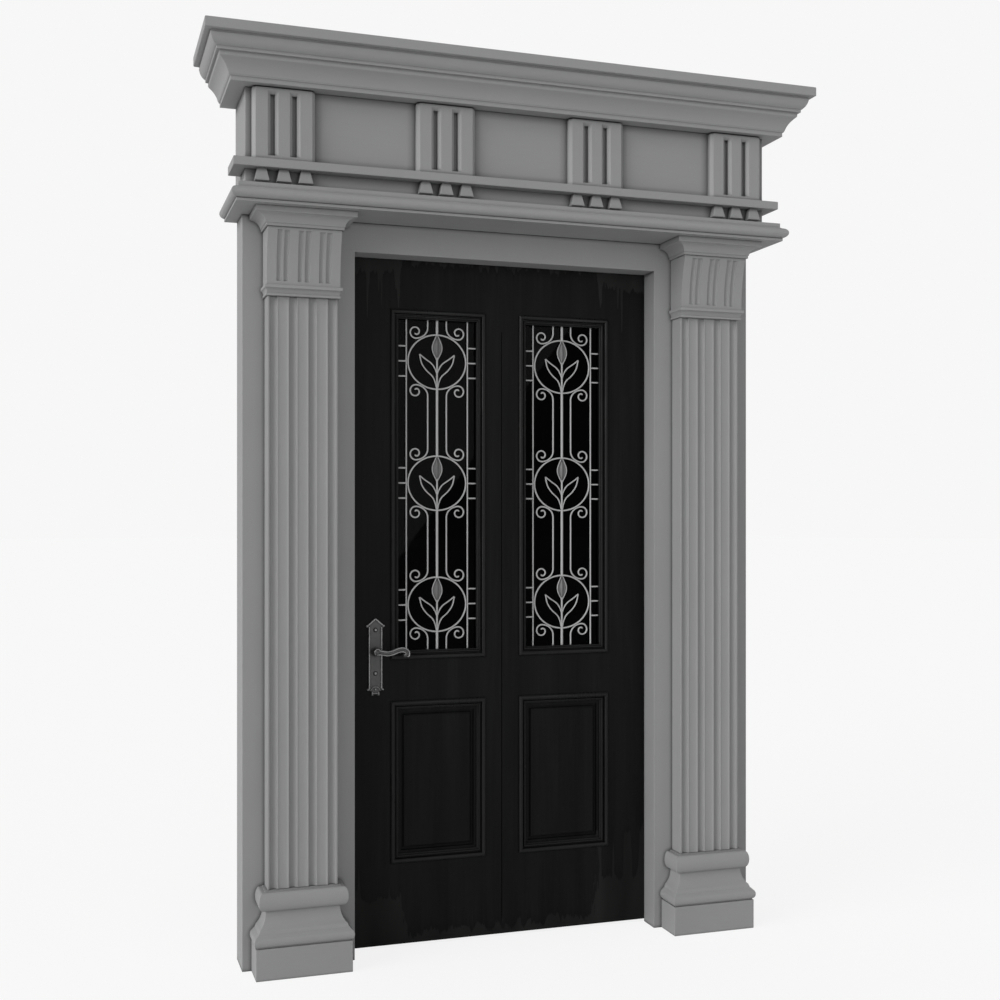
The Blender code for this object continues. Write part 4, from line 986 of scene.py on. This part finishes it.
# %% [markdown]
# ## The wrought iron grilles
#
# Each grille is forged from thin rods.  Five bars stand upright.  Three rings sit on them, and
# from each ring the two middle bars curl away into scrolls.  Inside each ring a stem carries a
# closed bud and two open leaves.  Every rod is a tube along its own curve, and a blacksmith's
# tapered end is a tube whose swell falls off.

# %% The curves of one ring
GRILLE_Y = -0.025
SIGHT_HALF = PANE_HALF - LAP
SIGHT_FOOT = GLAZED_FOOT + LAP
SIGHT_TOP = GLAZED_TOP - LAP
RING_LEVELS = np.linspace(SIGHT_TOP - 0.1286, SIGHT_FOOT + 0.1386, 3)
RING_HALF = (0.0930, 0.0840)
SCROLL_CENTRE = (0.0680, 0.0910)
SCROLL_RADIUS = 0.0192
SCROLL_EYE = 0.0042
SCROLL_SWEEP = 0.034
SCROLL_TURN = SCROLL_CENTRE[1] - SCROLL_RADIUS + SCROLL_SWEEP
BAR_OFFSET = 0.0300
SIDE_BAR = 0.0982
SHORT_PITCH = 0.0465


def scroll():
    """The path of a scroll: down its bar, out over the ring, and in a spiral to the eye.

    The spiral's radius falls from the full radius to the eye as 1 - s^1.5 over 400 degrees.
    """
    reach = SCROLL_CENTRE[0] - BAR_OFFSET
    sweep = arc((SCROLL_CENTRE[0], SCROLL_TURN), (-reach, -SCROLL_SWEEP), 0, 90, 14)
    share = np.linspace(0.0, 1.0, 45)[1:]
    angle = np.radians(-90 + 400 * share)
    radius = SCROLL_EYE + (SCROLL_RADIUS - SCROLL_EYE) * (1 - share ** 1.5)
    curl = radius[:, None] * np.stack((np.cos(angle), np.sin(angle)), axis=1)
    return np.concatenate((sweep, SCROLL_CENTRE + curl))


def smooth_through(points, steps):
    """Catmull-Rom curve: passes through every point, leaving each along the line of its neighbours."""
    points = np.array(points, dtype=float)
    ends = np.concatenate((2 * points[:1] - points[1:2], points, 2 * points[-1:] - points[-2:-1]))
    t = np.linspace(0.0, 1.0, steps, endpoint=False)[None, :, None]
    a, b, c, d = (ends[i:len(ends) - 3 + i, None] for i in range(4))
    curve = b + 0.5 * t * (c - a + t * (2 * a - 5 * b + 4 * c - d + t * (3 * (b - c) + d - a)))
    return np.concatenate((curve.reshape(-1, points.shape[1]), points[-1:]))


BUD_FOOT = 0.0080
BUD_HEIGHT = 0.0745
LEAF_INNER = [(0.0560, 0.0228), (0.0375, 0.0090), (0.0175, -0.0050), (0.0060, -0.0215), (0.0012, -0.0345)]
LEAF_OUTER = [(0.0560, 0.0228), (0.0490, -0.0050), (0.0345, -0.0260), (0.0150, -0.0440), (0.0060, -0.0620),
              (0.0018, -0.0800)]


def bud_half(share):
    """Half width of the bud over its height: a swelling sine that is fullest a little below the middle."""
    return 0.0022 + 0.0135 * np.sin(math.pi * share ** 0.94) ** 1.25


def bud(middle, level):
    """The bud's hollow face with a rib down its middle: rings over height."""
    share = np.linspace(0.0, 1.0, 25)
    half = bud_half(share) - 0.0006
    half[-1] = 0.0006
    across = np.array((-1.0, -0.80, -0.45, -0.20, 0.0, 0.20, 0.45, 0.80, 1.0, 0.5, 0.0, -0.5))
    rise = np.array((0.0, -0.10, -0.15, 0.50, 1.0, 0.50, -0.15, -0.10, 0.0, -0.35, -0.4, -0.35))
    y = GRILLE_Y - (0.0010 + 0.30 * half)[:, None] * rise
    z = level + BUD_FOOT + BUD_HEIGHT * share
    return grid(middle + half[:, None] * across, y, z[:, None])


# %% Forge the two grilles
STEM_ROD = (0.0080, 0.0070)
SIDE_ROD = (0.0046, 0.0070)
SCROLL_ROD = (0.0049, 0.0056)
RING_ROD = (0.0051, 0.0062)
STALK_ROD = (0.0058, 0.0062)
SHORT_ROD = (0.0050, 0.0054)
LEAF_ROD = (0.0044, 0.0050)
BUD_ROD = (0.0032, 0.0046)
OVERLAP = 0.0001


def straight(start, end, steps=2):
    """Points of a straight rod."""
    return np.linspace(start, end, steps)


def rod(path, size, y=GRILLE_Y, **more):
    """A rod of the given width and depth, forged along a path in the grille's plane."""
    return tube(path, *size, y, **more)


def lengths(reach):
    """The (low, high) ends of a bar that stops where it comes within reach of a ring's middle."""
    stops = [SIGHT_TOP - GAP]
    for level in RING_LEVELS:
        stops += [level + reach, level - reach]
    stops.append(SIGHT_FOOT + GAP)
    return zip(stops[1::2], stops[0::2])


def grille(middle):
    """All rods of one grille as closed surfaces."""
    rods = []
    for low, high in lengths(RING_HALF[1]):
        rods.append(rod(straight((middle, low), (middle, high)), STEM_ROD, sides=14))
    curl = scroll()
    taper = np.concatenate((np.ones(len(curl) - 12), np.linspace(1.0, 1.12, 8), np.linspace(1.05, 0.5, 4)))
    share = np.linspace(0.0, 1.0, 20)
    rim = np.stack((bud_half(share), BUD_FOOT + BUD_HEIGHT * share), axis=1)
    for side in (-1, 1):
        x = middle + side * SIDE_BAR
        rods.append(rod(straight((x, SIGHT_FOOT + GAP), (x, SIGHT_TOP - GAP)), SIDE_ROD))
        for level in RING_LEVELS:
            for up in (-1, 1):
                rods.append(rod((middle, level) + curl * (side, up), SCROLL_ROD, swell=taper))
        bar = middle + side * BAR_OFFSET
        for low, high in lengths(SCROLL_TURN):
            over = OVERLAP * (high < SIGHT_TOP - 0.001)
            rods.append(rod(straight((bar, low - OVERLAP), (bar, high + over)), SCROLL_ROD))
        wall = middle + side * (SIGHT_HALF - GAP)
        for level in RING_LEVELS:
            for height in (level - SHORT_PITCH, level, level + SHORT_PITCH):
                rods.append(rod(straight((x, height), (wall, height)), SHORT_ROD))
            for edge in (LEAF_INNER, LEAF_OUTER):
                path = (middle, level) + smooth_through(edge, 9) * (side, 1)
                rods.append(rod(path, LEAF_ROD, sides=10))
            rods.append(rod((middle, level) + rim * (side, 1), BUD_ROD, GRILLE_Y - 0.0006, sides=10))
    for level in RING_LEVELS:
        rods.append((rod(arc((middle, level), RING_HALF, 0, 360, 72)[:-1], RING_ROD, closed=True), True))
        rods.append(rod(straight((middle, level - RING_HALF[1]), (middle, level + 0.014)), STALK_ROD))
    return rods


for side, tag in SIDES:
    middle = side * PANE_CENTRE
    rods = grille(middle)
    add_piece(f"forged_grille_{tag}", rods, pale_iron, "leaf", [f"grille_{tag}"])
    buds = [bud(middle, level) for level in RING_LEVELS]
    # The buds' faces are painted darker as shade.
    add_piece(f"grille_buds_{tag}", buds, shaded_iron, "leaf")
    print("grille", tag, "has", len(rods), "rods and", len(buds), "buds")

# %% [markdown]
# ## The handle plates
#
# A cast plate has a small gable on top with a bar along each slope and a knob at each eaves, a
# round ridge down both sides, and at its foot an arch over a pendant with two feet.  The
# plate's edge is made by drawing the outline in by small steps, each with its own height, which is
# how a ring offset inwards becomes a softened edge.

# %% Plate outlines drawn in
PLATE_CENTRE = -0.407
SPINDLE = 0.904
EAVES = SPINDLE + 0.0742
PLATE_FOOT = SPINDLE - 0.1090


def draw_in(outline, distance):
    """Moves each corner of a closed outline inwards so that every side moves by the distance.

    With unit normals m and n of the two sides at a corner, it moves by d (m + n) / (1 + m . n).
    """
    ahead = np.roll(outline, -1, axis=0) - outline
    ahead /= np.linalg.norm(ahead, axis=1)[:, None]
    normal = np.stack((ahead[:, 1], -ahead[:, 0]), axis=1)
    area = np.sum(outline[:, 0] * np.roll(outline[:, 1], -1) - np.roll(outline[:, 0], -1) * outline[:, 1])
    if area > 0:
        normal = -normal
    previous = np.roll(normal, 1, axis=0)
    return outline + distance * (normal + previous) / (1 + np.sum(normal * previous, axis=1))[:, None]


def plate_outline():
    """Right half from the apex to the pendant, then the left half mirrored."""
    right = profile(
        (0.0, EAVES + 0.0286), (0.0232, EAVES + 0.0075),
        arc((0.0242, EAVES + 0.0042), (0.0030, 0.0030), 60, -100, 6),
        (0.0215, EAVES - 0.002), (0.0215, PLATE_FOOT + 0.002), (0.0268, PLATE_FOOT - 0.0068),
        (0.0200, PLATE_FOOT - 0.0085), (0.0125, PLATE_FOOT - 0.011), (0.0125, PLATE_FOOT - 0.0240),
        (0.0055, PLATE_FOOT - 0.0240), (0.0055, PLATE_FOOT - 0.0200))
    left = right[::-1] * (-1, 1)
    return np.concatenate((right, left[:-1])) + (PLATE_CENTRE, 0.0)


def ball(x, z, radius, y):
    """A ball: circles of radius r cos a at the depth y + r sin a, with a from pole to pole."""
    angle = np.radians(np.linspace(-88.0, 88.0, 11))
    outline = np.stack((radius * np.cos(angle), y + radius * np.sin(angle)), axis=1)
    return turned(outline, (PLATE_CENTRE + x, z), sides=20)


def plate_body(surface, outwards):
    """The flat plate with its softened edge."""
    rings = []
    for inset, rise in ((0.0, GAP), (0.0, 0.0026), (0.0004, 0.0033), (0.0012, 0.0036)):
        x, z = draw_in(plate_outline(), inset).T
        rings.append(grid(x, surface + outwards * rise, z))
    return [np.stack(rings)]


def plate_trims(surface, outwards):
    """Raised metal on the plate: side ridges, roof bars, knobs, and the arch and beads at its foot.

    Each bar that stands on both sides is given by its start and end, with x measured from the
    plate's middle, its number of points and its width.
    """
    y = surface + outwards * 0.0040
    foot = PLATE_FOOT
    bars = [(arc((0.0, foot - 0.0100), (0.0140, 0.0130), 170, 10, 14), 0.0032),
            (straight((-0.0120, foot - 0.0170), (0.0120, foot - 0.0170), 3), 0.0034)]
    balls = [ball(0.0, foot - 0.0050, 0.0036, y)]
    for side in (-1, 1):
        for start, end, points, width in (((0.0006, EAVES + 0.0256), (0.0220, EAVES + 0.0070), 6, 0.0052),
                                          ((0.0190, foot - 0.0020), (0.0190, EAVES + 0.0010), 3, 0.0050),
                                          ((0.0196, foot - 0.0030), (0.0250, foot - 0.0066), 4, 0.0044),
                                          ((0.0098, foot - 0.0130), (0.0098, foot - 0.0222), 3, 0.0042)):
            bars.append((straight(start, end, points) * (side, 1), width))
        balls.append(ball(side * 0.0252, EAVES + 0.0044, 0.0040, y))
    return [tube((PLATE_CENTRE, 0.0) + path, width, 0.0064, y) for path, width in bars] + balls


print("plate outline:", len(plate_outline()), "points")

# %% [markdown]
# ## Screws, levers and hinges
#
# Each plate is held by two small round-headed screws.  The lever leaves its boss, dips, rises
# in a slow S and curls down at its end.  Screws and bosses are turned shapes; the lever is a tube
# whose swell follows the casting.

# %% Screws and levers
def screw_head(place, surface, outwards):
    """A dome over radius r: rise = 0.4 mm + 2.6 mm * sqrt(1 - (r / 4.2 mm)^2), with a slot across."""
    radius = np.array((0.0040, 0.0040, 0.0037, 0.0030, 0.0020, 0.0010, 0.0002))
    rise = np.concatenate(([0.0], 0.0004 + 0.0026 * np.sqrt(1 - (radius[1:] / 0.0042) ** 2)))
    rings = turned(np.stack((radius, surface + outwards * rise), axis=1), place, sides=32)
    along = (rings[..., 0] - place[0]) * math.cos(0.6) + (rings[..., 2] - place[1]) * math.sin(0.6)
    slot = np.clip(1.4 - np.abs(along) / 0.0006, 0.0, 1.0)
    slot[:2] = 0.0
    rings[..., 1] -= outwards * 0.0006 * slot
    return rings


def lever_surfaces(surface, outwards):
    """Boss, neck, and an arm with a knuckle and a curled end; then its raised rims on their own."""
    start = surface + outwards * 0.0045
    arm_y = surface + outwards * 0.044
    rim_y = arm_y + outwards * 0.0040
    stretch = abs(arm_y - start) / 0.0415
    outline = profile(
        (0.0004, 0.0), (0.0128, 0.0), (0.0132, 0.0012), (0.0124, 0.0030), (0.0108, 0.0042), (0.0102, 0.0060),
        (0.0094, 0.0100), (0.0088, 0.0200), (0.0086, 0.0300), arc((0.0, 0.0380), (0.0086, 0.0050), 0, 88, 8))
    outline = (0.0, start) + outline * (1, outwards * stretch)
    boss = turned(soften(outline, 0.0005), (PLATE_CENTRE, SPINDLE), sides=40)
    path = smooth_through([(-0.0060, 0.0020), (0.0040, 0.0010), (0.014, -0.0005), (0.028, -0.0025),
                           (0.044, 0.0002), (0.062, 0.0066), (0.076, 0.0080), (0.0868, 0.0030),
                           (0.0900, -0.0050), (0.0862, -0.0112)], 7)
    ahead = np.gradient(path, axis=0)
    across = np.stack((-ahead[:, 1], ahead[:, 0]), axis=1) / np.linalg.norm(ahead, axis=1)[:, None]
    swell = np.ones(len(path))
    swell[-6:] = (1.0, 0.99, 0.94, 0.86, 0.72, 0.45)
    swell[:5] = (0.60, 0.92, 1.10, 1.08, 1.02)
    path = path + (PLATE_CENTRE, SPINDLE)
    body = [boss, tube(path, 0.0136, 0.0120, arm_y, sides=24, swell=swell),
            ball(-0.0030, SPINDLE + 0.0026, 0.0100, arm_y), ball(0.0838, SPINDLE - 0.0090, 0.0072, arm_y)]
    rims = [tube(path + sense * 0.0056 * swell[:, None] * across, 0.0044, 0.0064, rim_y, swell=swell)
            for sense in (-1, 1)]
    knuckle = arc((PLATE_CENTRE - 0.0030, SPINDLE + 0.0026), (0.0088, 0.0088), 20, 230, 16)
    return body, rims + [tube(knuckle, 0.0042, 0.0060, rim_y)]


for tag, surface, outwards in (("outside", LEAF_FRONT, -1), ("inside", 0.0, 1)):
    heads = []
    collars = []
    for level in (SPINDLE + 0.0665, SPINDLE - 0.0655):
        heads.append(screw_head((PLATE_CENTRE + 0.0006, level), surface + outwards * 0.0034, outwards))
        # The collar round each screw head is painted dark as its shadow ring.
        path = arc((PLATE_CENTRE, level), (0.0056, 0.0056), 0, 360, 32)[:-1]
        collar = tube(path, 0.0030, 0.0012, surface + outwards * 0.0036, closed=True, sides=8)
        collars.append((collar, True))
    body, rims = lever_surfaces(surface, outwards)
    # Trims, screw heads and lever rims take the lighter metal, partly a painted highlight; the collars take
    # the dark metal as painted shadow.
    for name, surfaces, finish, rides, stands_for in (
            ("cast_plate", plate_body(surface, outwards), dull_metal, "leaf", [f"handle_plate_{tag}"]),
            ("plate_trims", plate_trims(surface, outwards), rubbed_and_highlit_metal, "leaf", []),
            ("screw_heads", heads, rubbed_and_highlit_metal, "leaf", []),
            ("screw_collars", collars, dark_metal, "leaf", []),
            ("cast_lever", body, dull_metal, "lever", [f"lever_{tag}"]),
            ("lever_rims", rims, rubbed_and_highlit_metal, "lever", [])):
        add_piece(f"{name}_{tag}", surfaces, finish, rides, stands_for)
print("handle: plates, screws and levers")

# %% Hinges
HINGE_X = 0.4995
HINGE_Y = 0.007
HINGE_HALF = 0.050
KNUCKLE = 2 * HINGE_HALF / 5


def hinge_surfaces(middle):
    """Five knuckles about an upright pin, and the flap on the leaf's edge.

    A knuckle is four circles, of radius 5.6, 6.5, 6.5 and 5.6 mm, so its ends are softened.
    """
    feet = middle - HINGE_HALF + KNUCKLE * np.arange(5)
    steps = np.array((0.0003, 0.0011, KNUCKLE - 0.0011, KNUCKLE - 0.0003))
    rise = (feet[:, None] + steps).reshape(-1, 1)
    radius = np.tile((0.0056, 0.0065, 0.0065, 0.0056), 5)[:, None]
    angle = np.linspace(0.0, math.tau, 24, endpoint=False)
    barrel = grid(HINGE_X + radius * np.cos(angle), HINGE_Y + radius * np.sin(angle), rise)
    plan = rectangle(LEAF_HALF + GAP, LEAF_HALF + 0.0018, -0.036, HINGE_Y, 0.0004)
    return [barrel, board(plan, middle - 0.048, middle + 0.048, 0.0008)]


for node, middle in (("hinge_lower", LEAF_FOOT + 0.250), ("hinge_upper", LEAF_TOP - 0.250)):
    add_piece(f"{node}_knuckles", hinge_surfaces(middle), dull_metal, "leaf", [node])
print("hinges: two")

# %% [markdown]
# ## The studio
#
# A pale floor runs out in all directions under an even white sky, so the object stands in a
# white room.  One broad soft light from the left makes the left sides brighter than the fronts.
# Sky and floor look white to the camera but give less light than that, so the undersides of the
# mouldings stay dark.  A tilted soft box in front of the door shows as a slanting reflection in the
# glass.

# %% Floor, light and sky
WHITE = (1.0, 1.0, 1.0, 1.0)
SKY_SEEN = 0.93
SKY_LIGHT = 0.45
FLOOR_BOUNCE = 0.85
FLOOR_SEEN = 0.84
scene = bpy.context.scene


def add_object(name, data, place=(0.0, 0.0, 0.0), turn=(0.0, 0.0, 0.0)):
    """Puts a light, a camera or a mesh into the scene."""
    made = bpy.data.objects.new(name, data)
    scene.collection.objects.link(made)
    made.location = place
    made.rotation_euler = turn
    return made


angle = np.linspace(0.0, math.tau, 96, endpoint=False)
reach = np.array((0.001, 4.0, 20.0, 90.0, 90.0))[:, None]
drop = np.array((0.0, 0.0, 0.0, 0.0, -0.02))[:, None]
rings = grid(reach * np.cos(angle), reach * np.sin(angle), FLOOR - 0.0002 + drop)
mesh = bpy.data.meshes.new("studio_floor")
mesh.from_pydata(rings.reshape(-1, 3).tolist(), [], ring_faces(rings, False))
floor = add_object("studio_floor", mesh)
floor_finish, tree, shader, place = start_material("studio_floor_paper")
seen = add_node(tree, "ShaderNodeLightPath")["Is Camera Ray"]
paper = maths(tree, "MULTIPLY", noise(tree, place, 1.5, 2.0), 0.05)
fill(tree, shader, {"Base Color": maths(tree, "SUBTRACT", FLOOR_BOUNCE, maths(tree, "MULTIPLY", seen, 0.71)),
                    "Emission Color": WHITE, "Emission Strength": maths(tree, "MULTIPLY", seen, FLOOR_SEEN),
                    "Roughness": maths(tree, "ADD", 0.85, paper), "Specular IOR Level": 0.0})
mesh.materials.append(floor_finish)
floor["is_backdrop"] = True

world = bpy.data.worlds.new("even white sky")
world.use_nodes = True
tree = world.node_tree
seen_sky = tree.nodes["Background"]
fill(tree, seen_sky.inputs, {"Color": WHITE, "Strength": SKY_SEEN})
lit_sky = add_node(tree, "ShaderNodeBackground", {"Color": WHITE, "Strength": SKY_LIGHT})[0]
seen = add_node(tree, "ShaderNodeLightPath")["Is Camera Ray"]
chosen = add_node(tree, "ShaderNodeMixShader", {0: seen, 1: lit_sky, 2: seen_sky.outputs[0]})[0]
tree.links.new(chosen, tree.nodes["World Output"].inputs["Surface"])
scene.world = world
scene.view_settings.view_transform = "Standard"

window = bpy.data.lights.new("window", "SUN")
window.energy = 2.5
window.angle = math.radians(48.0)
shining = Vector((0.902, 0.315, -0.295))
add_object("window", window, turn=shining.to_track_quat("-Z", "Y").to_euler())

box = bpy.data.lights.new("soft box", "AREA")
box.shape = "RECTANGLE"
box.size = 3.4
box.size_y = 1.3
box.energy = 31.0
add_object("soft box", box, (1.32, -6.0, FLOOR + 2.29), (math.radians(90.0), math.radians(-52.3), 0.0))
print("studio: floor, sky, a window and a soft box")

# %% [markdown]
# ## The camera
#
# The camera stands a little to the left and looks level, at the height of a person's chest, so
# uprights stay upright.  Its shift moves the view without tilting it.

# %% The camera
lens = bpy.data.cameras.new("camera")
lens.sensor_width = 36.0
lens.lens = 47.26
lens.shift_y = 0.0191
turn = (math.radians(90.0), 0.0, math.radians(-18.296))
scene.camera = add_object("camera", lens, (-1.2993, -3.9508, -0.8437), turn)
print("camera at", tuple(round(value, 3) for value in scene.camera.location))

# %% Print the box of the finished scene
low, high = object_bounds()
print("box:", [round(value, 4) for value in (*low, *high)])
